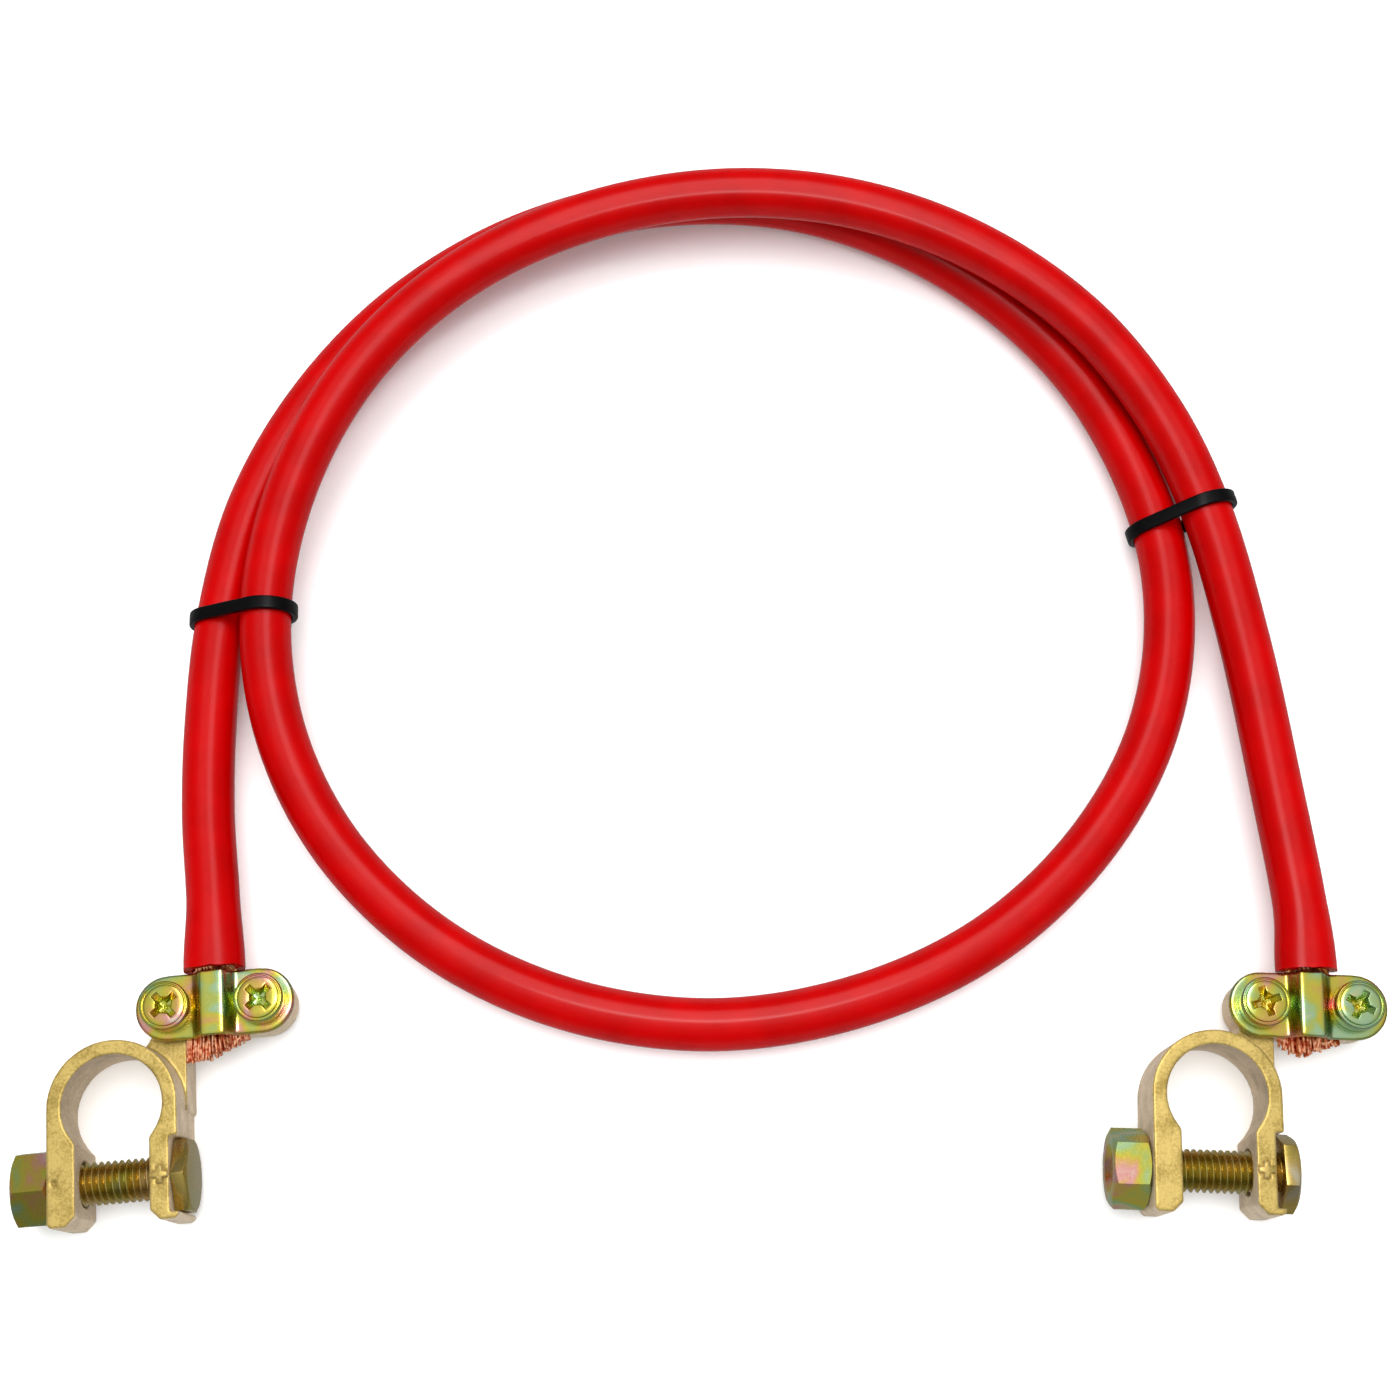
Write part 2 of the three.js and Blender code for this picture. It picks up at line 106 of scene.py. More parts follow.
# The bolts' film is thin and even: old gold with a breath of olive and grey.
BOLT_FILM = ("C9BE9E", "C4AA70", "C0A65A", "B9A352", "B2A85E", "B4AE84")


class Side(Enum):
    """Which of the two clamps, by the prefix of its nodes."""

    LEFT = "left"
    RIGHT = "right"


class BooleanKind(Enum):
    """How two closed meshes are put together."""

    UNION = "UNION"
    DIFFERENCE = "DIFFERENCE"
    INTERSECT = "INTERSECT"


def linear(colour: str, alpha: float = 1.0) -> tuple[float, float, float, float]:
    """Turn an sRGB hex colour to linear values.

    Args:
        colour: six hex digits.
        alpha: the fourth value.

    Returns:
        Linear red, green, blue and alpha.
    """
    parts = [int(colour[i:i + 2], 16) / 255 for i in (0, 2, 4)]
    red, green, blue = (p / 12.92 if p <= 0.04045 else ((p + 0.055) / 1.055) ** 2.4 for p in parts)
    return red, green, blue, alpha


def per_mm(size: float) -> float:
    """Scale of a pattern on Object coordinates whose features are this many millimetres wide."""
    return 1 / (size * MM)


def add_node(tree: bpy.types.NodeTree, kind: str, inputs: dict | None = None, **settings) -> bpy.types.Node:
    """Add a node with its settings and links.

    Args:
        tree: the tree that gets the node.
        kind: the node's type without the ShaderNode prefix.
        inputs: values or output sockets by input name or number.
        settings: the node's own properties.

    Returns:
        The new node.
    """
    node = tree.nodes.new("ShaderNode" + kind)
    for name, value in settings.items():
        setattr(node, name, value)
    for key, value in (inputs or {}).items():
        if isinstance(value, bpy.types.NodeSocket):
            tree.links.new(value, node.inputs[key])
        else:
            node.inputs[key].default_value = value
    return node


def ramp(tree: bpy.types.NodeTree, factor: bpy.types.NodeSocket,
         stops: Sequence[tuple[float, str]]) -> bpy.types.Node:
    """Add a colour ramp with the given stops.

    Args:
        tree: the tree that gets the node.
        factor: what drives the ramp.
        stops: place and sRGB hex colour of each stop, in order.

    Returns:
        The ramp's node.
    """
    node = add_node(tree, "ValToRGB", {"Fac": factor})
    elements = node.color_ramp.elements
    while len(elements) < len(stops):
        elements.new(0.5)
    for element, (place, colour) in zip(elements, stops):
        element.position = place
        element.color = linear(colour)
    return node


def new_material(name: str) -> tuple[bpy.types.Material, bpy.types.NodeTree, bpy.types.Node,
                                     bpy.types.NodeSocket]:
    """Start a material.

    Args:
        name: the finish's name.

    Returns:
        The material, its tree, its Principled BSDF and its Object coordinates.
    """
    material = bpy.data.materials.new(name)
    material.use_nodes = True
    tree = material.node_tree
    shader = tree.nodes["Principled BSDF"]
    place = add_node(tree, "TexCoord").outputs["Object"]
    return material, tree, shader, place


@dataclass(frozen=True)
class SoftVinyl:
    """Plasticised PVC, extruded over the strands: saturated red, glossy, with faint lines along the cable."""

    colour: str = "B80001"
    deep_colour: str = "A80001"
    roughness: float = 0.22
    gloss: float = 0.11
    mottle_mm: float = 9.0
    line_mm: float = 0.5
    line_height_mm: float = 0.012

    def material(self) -> bpy.types.Material:
        """Build the finish.

        Returns:
            The material.
        """
        material, tree, shader, place = new_material("red_extruded_pvc")
        mottle = add_node(tree, "TexNoise", {"Vector": place, "Scale": per_mm(self.mottle_mm), "Detail": 3.0})
        colour = ramp(tree, mottle.outputs["Fac"], [(0.3, self.deep_colour), (0.7, self.colour)])
        tree.links.new(colour.outputs["Color"], shader.inputs["Base Color"])
        haze = add_node(tree, "TexNoise", {
            "Vector": place, "Scale": per_mm(self.mottle_mm / 4), "Detail": 4.0})
        rough = add_node(tree, "MapRange", {
            "Value": haze.outputs["Fac"], "To Min": self.roughness - 0.04, "To Max": self.roughness + 0.06})
        tree.links.new(rough.outputs["Result"], shader.inputs["Roughness"])
        # The die leaves lines along the cable, so the noise is stretched along it.
        lay = add_node(tree, "Attribute", attribute_name="lay", attribute_type="GEOMETRY")
        stretched = add_node(tree, "Mapping", {"Vector": lay.outputs["Vector"], "Scale": (1.0, 1.0, 0.03)})
        lines = add_node(tree, "TexNoise", {
            "Vector": stretched.outputs["Vector"], "Scale": per_mm(self.line_mm), "Detail": 2.0})
        bump = add_node(tree, "Bump", {
            "Height": lines.outputs["Fac"], "Strength": 0.35, "Distance": self.line_height_mm * MM})
        tree.links.new(bump.outputs["Normal"], shader.inputs["Normal"])
        shader.inputs["IOR"].default_value = 1.53
        shader.inputs["Specular IOR Level"].default_value = self.gloss
        return material


@dataclass(frozen=True)
class SandCastBrass:
    """Pale cast brass with a fine grain and pits; faces that look up are painted a bright yellow as lit from
    above, and the walls a duller, greyer beige as painted side shading.
    """

    # Painted light by facing: a lit yellow for faces that look up and a duller, greyer beige for the walls,
    # each with a darker grain stop.
    top_lit_colour: str = "C0A65E"
    top_lit_grain_colour: str = "98803C"
    side_lit_colour: str = "DCC8AA"
    side_lit_grain_colour: str = "B6A284"
    grain_mm: float = 0.45
    pit_mm: float = 0.9
    blotch_mm: float = 4.0
    grain_height_mm: float = 0.05

    def material(self) -> bpy.types.Material:
        """Build the finish.

        Returns:
            The material.
        """
        material, tree, shader, place = new_material("pale_sand_cast_brass")
        grain = add_node(tree, "TexNoise", {
            "Vector": place, "Scale": per_mm(self.grain_mm), "Detail": 3.0, "Roughness": 0.6})
        blotch = add_node(tree, "TexNoise", {"Vector": place, "Scale": per_mm(self.blotch_mm), "Detail": 4.0})
        mixed = add_node(tree, "Math", {0: grain.outputs["Fac"], 1: blotch.outputs["Fac"]}, operation="ADD")
        half = add_node(tree, "Math", {0: mixed.outputs[0], 1: 0.5}, operation="MULTIPLY")
        face = ramp(tree, half.outputs[0], [(0.38, self.top_lit_grain_colour), (0.55, self.top_lit_colour)])
        wall = ramp(tree, half.outputs[0], [(0.36, self.side_lit_grain_colour), (0.58, self.side_lit_colour)])
        normal = add_node(tree, "NewGeometry").outputs["Normal"]
        upright = add_node(tree, "SeparateXYZ", {"Vector": normal}).outputs["Z"]
        level = add_node(tree, "Math", {0: upright}, operation="ABSOLUTE")
        top_lit_and_finish_mask = add_node(tree, "MapRange", {"Value": level.outputs[0], "From Min": 0.3, "From Max": 0.8})
        # Painted light: the facing mask gives faces that look up the lit yellow and the walls the greyer beige.
        colour = add_node(tree, "Mix", {
            "Factor": top_lit_and_finish_mask.outputs["Result"], 6: wall.outputs["Color"], 7: face.outputs["Color"]},
            data_type="RGBA")
        tree.links.new(colour.outputs[2], shader.inputs["Base Color"])
        rough = add_node(tree, "MapRange", {
            "Value": top_lit_and_finish_mask.outputs["Result"], "To Min": 0.56, "To Max": 0.4})
        tree.links.new(rough.outputs["Result"], shader.inputs["Roughness"])
        pits = add_node(tree, "TexVoronoi", {"Vector": place, "Scale": per_mm(self.pit_mm)})
        relief = add_node(tree, "Math", {0: pits.outputs["Distance"], 1: 0.4, 2: grain.outputs["Fac"]},
                          operation="MULTIPLY_ADD")
        bump = add_node(tree, "Bump", {
            "Height": relief.outputs[0], "Strength": 0.8, "Distance": self.grain_height_mm * MM})
        tree.links.new(bump.outputs["Normal"], shader.inputs["Normal"])
        # The sand skin scatters light, so the walls are hardly metallic.
        metal = add_node(tree, "MapRange", {"Value": top_lit_and_finish_mask.outputs["Result"], "To Min": 0.2, "To Max": 0.6})
        tree.links.new(metal.outputs["Result"], shader.inputs["Metallic"])
        return material


@dataclass(frozen=True)
class YellowZinc:
    """Zinc plate under a yellow film: bright metal that shifts from yellow to green and rose in patches."""

    name: str
    shift: float
    film: tuple[str, ...] = ("DED8BE", "DCA098", "D6AE62", "CABE4A", "B4C068", "A6C69C", "D4CC92", "DCA6A2")
    thinnest: float = 0.26
    thickest: float = 0.78
    patch_mm: float = 8.0
    roughness: float = 0.23
    grain_mm: float = 0.5
    grain_height_mm: float = 0.01

    def stops(self) -> list[tuple[float, str]]:
        """The film's colours, evenly spread over the noise that thickens it."""
        step = (self.thickest - self.thinnest) / (len(self.film) - 1)
        return [(self.thinnest + step * number, colour) for number, colour in enumerate(self.film)]

    def material(self) -> bpy.types.Material:
        """Build the finish.

        Returns:
            The material.
        """
        material, tree, shader, place = new_material(self.name)
        moved = add_node(tree, "Mapping", {
            "Vector": place, "Location": (self.shift, -self.shift, self.shift)})
        patches = add_node(tree, "TexNoise", {
            "Vector": moved.outputs["Vector"], "Scale": per_mm(self.patch_mm), "Detail": 2.0,
            "Distortion": 0.6})
        film = ramp(tree, patches.outputs["Fac"], self.stops())
        tree.links.new(film.outputs["Color"], shader.inputs["Base Color"])
        fine = add_node(tree, "TexNoise", {"Vector": place, "Scale": per_mm(self.grain_mm), "Detail": 3.0})
        rough = add_node(tree, "MapRange", {
            "Value": fine.outputs["Fac"], "To Min": self.roughness - 0.05, "To Max": self.roughness + 0.1})
        tree.links.new(rough.outputs["Result"], shader.inputs["Roughness"])
        bump = add_node(tree, "Bump", {
            "Height": fine.outputs["Fac"], "Strength": 0.3, "Distance": self.grain_height_mm * MM})
        tree.links.new(bump.outputs["Normal"], shader.inputs["Normal"])
        shader.inputs["Metallic"].default_value = 1.0
        return material


@dataclass(frozen=True)
class BareCopper:
    """Drawn copper wire: orange-pink bright metal, redder and darker where it has tarnished."""

    bright: str = "FFC096"
    tarnish: str = "C65A32"
    patch_mm: float = 0.8

    def material(self) -> bpy.types.Material:
        """Build the finish.

        Returns:
            The material.
        """
        material, tree, shader, place = new_material("drawn_copper_wire")
        patches = add_node(tree, "TexNoise", {"Vector": place, "Scale": per_mm(self.patch_mm), "Detail": 3.0})
        colour = ramp(tree, patches.outputs["Fac"], [(0.38, self.tarnish), (0.58, self.bright)])
        tree.links.new(colour.outputs["Color"], shader.inputs["Base Color"])
        shader.inputs["Metallic"].default_value = 1.0
        shader.inputs["Roughness"].default_value = 0.28
        return material


@dataclass(frozen=True)
class BlackNylon:
    """Moulded black nylon: near black with a soft sheen along the strap."""

    colour: str = "020203"
    light_colour: str = "070708"
    gloss: float = 0.12
    grain_mm: float = 0.4
    grain_height_mm: float = 0.015

    def material(self) -> bpy.types.Material:
        """Build the finish.

        Returns:
            The material.
        """
        material, tree, shader, place = new_material("moulded_black_nylon")
        grain = add_node(tree, "TexNoise", {"Vector": place, "Scale": per_mm(self.grain_mm), "Detail": 3.0})
        colour = ramp(tree, grain.outputs["Fac"], [(0.3, self.colour), (0.75, self.light_colour)])
        tree.links.new(colour.outputs["Color"], shader.inputs["Base Color"])
        rough = add_node(tree, "MapRange", {"Value": grain.outputs["Fac"], "To Min": 0.28, "To Max": 0.42})
        tree.links.new(rough.outputs["Result"], shader.inputs["Roughness"])
        bump = add_node(tree, "Bump", {
            "Height": grain.outputs["Fac"], "Strength": 0.3, "Distance": self.grain_height_mm * MM})
        tree.links.new(bump.outputs["Normal"], shader.inputs["Normal"])
        shader.inputs["IOR"].default_value = 1.53
        shader.inputs["Specular IOR Level"].default_value = self.gloss
        return material


def object_from(bm: bmesh.types.BMesh, name: str) -> bpy.types.Object:
    """Turn a bmesh into a linked object at the origin and free the bmesh.

    Args:
        bm: the finished bmesh.
        name: the object's name.

    Returns:
        The new object.
    """
    mesh = bpy.data.meshes.new(name)
    bm.to_mesh(mesh)
    bm.free()
    obj = bpy.data.objects.new(name, mesh)
    bpy.context.scene.collection.objects.link(obj)
    return obj


def applied(obj: bpy.types.Object) -> bmesh.types.BMesh:
    """Take an object's mesh with its modifiers applied, and remove the object.

    Args:
        obj: the object, which is used up.

    Returns:
        The mesh as a new bmesh.
    """
    bpy.context.view_layer.update()
    depsgraph = bpy.context.evaluated_depsgraph_get()
    bm = bmesh.new()
    bm.from_object(obj, depsgraph)
    mesh = obj.data
    bpy.data.objects.remove(obj)
    bpy.data.meshes.remove(mesh)
    return bm


def combined(first: bmesh.types.BMesh, second: bmesh.types.BMesh, kind: BooleanKind) -> bmesh.types.BMesh:
    """Put two closed meshes together by a boolean.

    Args:
        first: the mesh that is kept, cut or joined.
        second: the mesh that cuts or joins it.
        kind: which boolean.

    Returns:
        The result as a new bmesh; both inputs are used up.
    """
    base = object_from(first, "base")
    tool = object_from(second, "tool")
    modifier = base.modifiers.new("boolean", "BOOLEAN")
    modifier.operation = kind.value
    modifier.solver = "EXACT"
    modifier.object = tool
    result = applied(base)
    tool_mesh = tool.data
    bpy.data.objects.remove(tool)
    bpy.data.meshes.remove(tool_mesh)
    return result


def softened(bm: bmesh.types.BMesh, voxel: float, rounds: int) -> bmesh.types.BMesh:
    """Remesh closed shapes as one skin with rounded edges, as casting and pressing leave them.

    Args:
        bm: closed shapes, which may overlap.
        voxel: size of the skin's faces, in the mesh's own unit.
        rounds: how many times the skin is smoothed.

    Returns:
        The skin as a new bmesh.
    """
    obj = object_from(bm, "blank")
    remesh = obj.modifiers.new("skin", "REMESH")
    remesh.mode = "VOXEL"
    remesh.voxel_size = voxel
    smooth = obj.modifiers.new("soften", "SMOOTH")
    smooth.factor = 0.5
    smooth.iterations = rounds
    return applied(obj)


def new_vertices(result: dict, key: str = "geom") -> list[bmesh.types.BMVert]:
    """The vertices in what a bmesh operator returned."""
    return [item for item in result[key] if isinstance(item, bmesh.types.BMVert)]


def edges_within(vertices: Iterable[bmesh.types.BMVert]) -> list[bmesh.types.BMEdge]:
    """The edges whose two ends are both among the vertices.

    Args:
        vertices: the vertices to look between.

    Returns:
        The edges.
    """
    chosen = set(vertices)
    found = {edge for vertex in chosen for edge in vertex.link_edges if edge.other_vert(vertex) in chosen}
    return list(found)


def sharp_edges(bm: bmesh.types.BMesh, least: float) -> list[bmesh.types.BMEdge]:
    """The edges whose faces meet at more than an angle in degrees."""
    limit = math.radians(least)
    return [edge for edge in bm.edges if edge.is_manifold and edge.calc_face_angle(0.0) > limit]


def rounded(bm: bmesh.types.BMesh, width: float, least: float = 40.0, segments: int = 2) -> None:
    """Round the sharp edges of a mesh.

    Args:
        bm: the mesh, changed in place.
        width: how far the rounding reaches from the edge.
        least: the least angle of a sharp edge, in degrees.
        segments: faces across the rounding.
    """
    bmesh.ops.bevel(bm, geom=sharp_edges(bm, least), offset=width, offset_type="OFFSET", segments=segments,
                    profile=0.5, affect="EDGES", clamp_overlap=True, material=-1)


def turned(profile: Sequence[tuple[float, float]], steps: int = 64) -> bmesh.types.BMesh:
    """A closed turned solid about Z.

    Args:
        profile: radius and height of each point, from the axis at the bottom to the axis at the top.
        steps: faces round the axis.

    Returns:
        The solid as a bmesh.
    """
    bm = bmesh.new()
    vertices = [bm.verts.new((radius, 0.0, height)) for radius, height in profile]
    edges = [bm.edges.new(pair) for pair in zip(vertices, vertices[1:])]
    bmesh.ops.spin(bm, geom=vertices + edges, cent=(0, 0, 0), axis=(0, 0, 1), dvec=(0, 0, 0),
                   angle=math.tau, steps=steps, use_merge=True, use_duplicate=False)
    bmesh.ops.remove_doubles(bm, verts=bm.verts, dist=1e-5)
    bmesh.ops.recalc_face_normals(bm, faces=bm.faces)
    return bm


def box_shape(low: Sequence[float], high: Sequence[float]) -> bmesh.types.BMesh:
    """A closed box.

    Args:
        low: its lowest corner.
        high: its highest corner.

    Returns:
        The box as a bmesh.
    """
    bm = bmesh.new()
    size = [b - a for a, b in zip(low, high)]
    middle = [(a + b) / 2 for a, b in zip(low, high)]
    bmesh.ops.create_cube(bm, size=1.0, matrix=Matrix.LocRotScale(Vector(middle), None, Vector(size)))
    return bm


def sweep(bm: bmesh.types.BMesh, edges: list[bmesh.types.BMEdge], frames: Sequence[Matrix],
          mark: Callable[[list[bmesh.types.BMVert], int], None] | None = None) -> list[bmesh.types.BMEdge]:
    """Draw a closed loop of edges along a row of frames.

    Args:
        bm: the mesh that holds the loop, which lies at the first frame.
        edges: the loop's edges.
        frames: where the loop goes, one matrix a step, each with its own scale.
        mark: called with each new ring's vertices and its number.

    Returns:
        The edges of the last ring.
    """
    for number in range(1, len(frames)):
        fresh = new_vertices(bmesh.ops.extrude_edge_only(bm, edges=edges))
        bmesh.ops.transform(bm, matrix=frames[number] @ frames[number - 1].inverted(), verts=fresh)
        edges = edges_within(fresh)
        if mark:
            mark(fresh, number)
    return edges


def bar(frames: Sequence[Matrix], sides: int) -> bmesh.types.BMesh:
    """A bar through a row of frames, closed at both ends.

    Args:
        frames: a frame for each ring, which also carries the bar's radius.
        sides: how many sides it has.

    Returns:
        The bar.
    """
    bm = bmesh.new()
    start = bmesh.ops.create_circle(bm, segments=sides, radius=1.0, cap_ends=True)["verts"]
    bmesh.ops.transform(bm, matrix=frames[0], verts=start)
    last = sweep(bm, edges_within(start), frames)
    bmesh.ops.holes_fill(bm, edges=last, sides=0)
    bmesh.ops.recalc_face_normals(bm, faces=bm.faces)
    return bm


def joined(meshes: Iterable[bmesh.types.BMesh]) -> bmesh.types.BMesh:
    """Put several closed shapes into one bmesh.

    Args:
        meshes: the shapes, which are used up.

    Returns:
        All of them as a new bmesh.
    """
    whole = bmesh.new()
    for bm in meshes:
        mesh = bpy.data.meshes.new("shape")
        bm.to_mesh(mesh)
        bm.free()
        whole.from_mesh(mesh)
        bpy.data.meshes.remove(mesh)
    return whole


def finished(bm: bmesh.types.BMesh, name: str, material: bpy.types.Material, nodes: Sequence[str],
             crisp: bool = True) -> bpy.types.Object:
    """Make a piece that stands for CAD nodes: shaded, dressed and riding on the root body.

    Args:
        bm: the piece's mesh in metres in the part's frame.
        name: the piece's name.
        material: its finish.
        nodes: the CAD nodes that it stands for.
        crisp: whether sharp edges stay sharp in the shading.

    Returns:
        The piece.
    """
    obj = object_from(bm, name)
    obj.data.shade_smooth()
    if crisp:
        obj.data.set_sharp_from_angle(angle=CRISP_ANGLE)
    obj.data.materials.append(material)
    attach(obj, ROOT)
    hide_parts(*nodes)
    log.info("%s: %d faces", name, len(obj.data.polygons))
    return obj


@dataclass
class CableRoute:
    """The middle line of the cable: a centripetal Catmull-Rom curve through the given points."""

    points: Sequence[Sequence[float]]
    fineness: int = 40

    def __post_init__(self) -> None:
        """Trace the curve once and note the length up to each traced point."""
        self.line = self.traced()
        self.lengths = [0.0]
        for here, there in zip(self.line, self.line[1:]):
            self.lengths.append(self.lengths[-1] + (there - here).length)

    @property
    def length(self) -> float:
        """The curve's whole length."""
        return self.lengths[-1]

    def traced(self) -> list[Vector]:
        """Trace the curve, each span in even steps.

        Returns:
            Points along the curve, close together.
        """
        knots = [Vector(point) for point in self.points]
        knots = [2 * knots[0] - knots[1], *knots, 2 * knots[-1] - knots[-2]]
        line = []
        for p0, p1, p2, p3 in zip(knots, knots[1:], knots[2:], knots[3:]):
            d0, d1, d2 = ((b - a).length ** 0.5 for a, b in ((p0, p1), (p1, p2), (p2, p3)))
            m1 = ((p1 - p0) / d0 - (p2 - p0) / (d0 + d1) + (p2 - p1) / d1) * d1
            m2 = ((p2 - p1) / d1 - (p3 - p1) / (d1 + d2) + (p3 - p2) / d2) * d1
            for step in range(self.fineness):
                t = step / self.fineness
                line.append((2 * t**3 - 3 * t**2 + 1) * p1 + (t**3 - 2 * t**2 + t) * m1
                            + (3 * t**2 - 2 * t**3) * p2 + (t**3 - t**2) * m2)
        line.append(knots[-2])
        return line

    def at(self, distance: float) -> tuple[Vector, Vector]:
        """The point and the direction at a distance from the start.

        Args:
            distance: metres along the curve; below 0 and past the end it runs straight on.

        Returns:
            The point and the unit tangent there.
        """
        if distance <= 0:
            tangent = (self.line[1] - self.line[0]).normalized()
            return self.line[0] + tangent * distance, tangent
        if distance >= self.length:
            tangent = (self.line[-1] - self.line[-2]).normalized()
            return self.line[-1] + tangent * (distance - self.length), tangent
        low, high = 0, len(self.lengths) - 1
        while high - low > 1:
            middle = (low + high) // 2
            low, high = (middle, high) if self.lengths[middle] <= distance else (low, middle)
        share = (distance - self.lengths[low]) / (self.lengths[high] - self.lengths[low])
        before = self.line[max(low - 1, 0)]
        after = self.line[min(high + 1, len(self.line) - 1)]
        return self.line[low].lerp(self.line[high], share), (after - before).normalized()

    def frame_at(self, distance: float, width: float, height: float) -> Matrix:
        """A frame across the curve, with its Z along it, scaled to a section.

        Args:
            distance: metres along the curve.
            width: half the section's level width.
            height: half its upright height.

        Returns:
            The frame as a matrix.
        """
        point, tangent = self.at(distance)
        side = tangent.cross(Vector((0, 0, 1))).normalized()
        rise = side.cross(tangent)
        axes = Matrix((side, rise, tangent)).transposed().to_4x4()
        return Matrix.Translation(point) @ axes @ Matrix.Diagonal((width, height, 1, 1))


@dataclass
class CableJacket:
    """The red insulation: a tube along the route, spread and roughly cut at both ends."""

    route: CableRoute
    radius: float = 5.0 * MM
    bore_radius: float = 3.7 * MM
    sides: int = 40
    step: float = 2.0 * MM
    flare_length: float = 14.0 * MM
    flare: float = 0.15
    flare_squeeze: float = 0.04
    to_strap: float = 0.5 * MM
    ragged: float = 0.3 * MM
    wave_mm: tuple[float, float] = (3.0, 1.0)
    end_tolerance: float = 0.05 * MM
    burr_place: tuple[float, float, float] = (0.0962, 0.1266, 0.0185)
    burr_lean: tuple[float, float, float] = (0.5, 0.2, 1.0)
    burr_reach: float = 1.3 * MM
    burr_height: float = 0.35 * MM

    def distances(self) -> list[float]:
        """Where the rings lie, closer together at the ends, which reach up to the straps.

        Returns:
            The distances along the route, in order.
        """
        steps = round(self.route.length / self.step)
        span = self.route.length + 2 * self.to_strap
        places = [span * i / steps - self.to_strap for i in range(steps + 1)]
        half = [(a + b) / 2 for a, b in zip(places, places[1:]) if a < self.flare_length]
        half += [(a + b) / 2 for a, b in zip(places, places[1:]) if b > self.route.length - self.flare_length]
        return sorted(places + half)

    def spread(self, distance: float) -> float:
        """How far the end's flare has opened.

        Args:
            distance: metres along the route.

        Returns:
            The share, from 0 to 1.
        """
        off_end = min(distance, self.route.length - distance)
        share = max(0.0, 1 - off_end / self.flare_length)
        return share * share * (3 - 2 * share)

    def frames(self, places: Sequence[float], radius: float) -> list[Matrix]:
        """The frames of the rings of a wall.

        Args:
            places: the rings' distances along the route.
            radius: the wall's radius where the jacket isn't spread.

        Returns:
            A frame for each ring.
        """
        found = []
        for place in places:
            opened = self.spread(place)
            width = radius * (1 + self.flare * opened)
            height = radius * (1 - self.flare_squeeze * opened)
            found.append(self.route.frame_at(place, width, height))
        return found

    def mesh(self) -> bmesh.types.BMesh:
        """Build the tube with its bore.

        Returns:
            The closed tube in metres.
        """
        bm = bmesh.new()
        lay = bm.verts.layers.float_vector.new("lay")
        outer = self.distances()
        # The bore is out of sight but for its ends, so it has half as many rings.
        inner = outer[::-1][::2] if len(outer) % 2 else outer[::-1][::2] + outer[:1]
        frames = self.frames(outer, self.radius)
        start = bmesh.ops.create_circle(bm, segments=self.sides, radius=1.0)["verts"]
        for vertex in start:
            vertex[lay] = (vertex.co.x * self.radius, vertex.co.y * self.radius, 0.0)
        bmesh.ops.transform(bm, matrix=frames[0], verts=start)
        first = edges_within(start)

        def mark(ring: list[bmesh.types.BMVert], number: int) -> None:
            """Note each vertex's place on the unbent cable, for the lines of the die."""
            for vertex in ring:
                vertex[lay] = (*vertex[lay].xy, outer[number])

        last = sweep(bm, first, frames, mark)
        bore = [frames[-1], *self.frames(inner, self.bore_radius)]
        last = sweep(bm, last, bore)
        bmesh.ops.bridge_loops(bm, edges=first + last)
        self.cut_ends(bm)
        self.raise_burr(bm)
        bmesh.ops.recalc_face_normals(bm, faces=bm.faces)
        return bm

    def cut_ends(self, bm: bmesh.types.BMesh) -> None:
        """Move the ends' vertices along the cable, as a blade leaves them.

        Args:
            bm: the jacket's mesh, changed in place.
        """
        coarse, fine = self.wave_mm
        for distance in (-self.to_strap, self.route.length + self.to_strap):
            point, tangent = self.route.at(distance)
            for vertex in bm.verts:
                off = abs((vertex.co - point).dot(tangent))
                if (vertex.co - point).length < 2 * self.radius and off < self.end_tolerance:
                    wave = noise.noise(vertex.co * per_mm(coarse))
                    wave += 0.5 * noise.noise(vertex.co * per_mm(fine))
                    vertex.co += tangent * wave * self.ragged

    def raise_burr(self, bm: bmesh.types.BMesh) -> None:
        """Raise the small nick on the outer strand.

        Args:
            bm: the jacket's mesh, changed in place.
        """
        middle = Vector(self.burr_place)
        push = Vector(self.burr_lean).normalized() * self.burr_height
        for vertex in bm.verts:
            share = 1 - (vertex.co - middle).length / self.burr_reach
            if share > 0:
                vertex.co += push * share

    def build(self, material: bpy.types.Material) -> bpy.types.Object:
        """Make the jacket's piece."""
        return finished(self.mesh(), "jacket", material, ["cable_jacket"])


@dataclass(frozen=True)
class ClampLie:
    """How a clamp lies, with what differs between the two castings.

    Turns are in degrees and lengths in millimetres. The cut end of the wires is given as places across the
    saddle, from -1 to 1, with their reach beyond the strap.
    """

    side: Side
    turn: float
    bolt_out: float
    head_turn: float
    nut_turn: float
    screw_turns: tuple[float, float]
    wire_reach: tuple[tuple[float, float], ...]
    pits: tuple[tuple[float, float], ...] = ()

    def bundle_end(self, level: float) -> float:
        """How far the wires reach beyond the strap at a place across the saddle.

        Args:
            level: the place, from -1 to 1.

        Returns:
            The reach in millimetres.
        """
        for (left, low), (right, high) in zip(self.wire_reach, self.wire_reach[1:]):
            if level <= right:
                return low + (high - low) * (level - left) / (right - left)
        return self.wire_reach[-1][1]


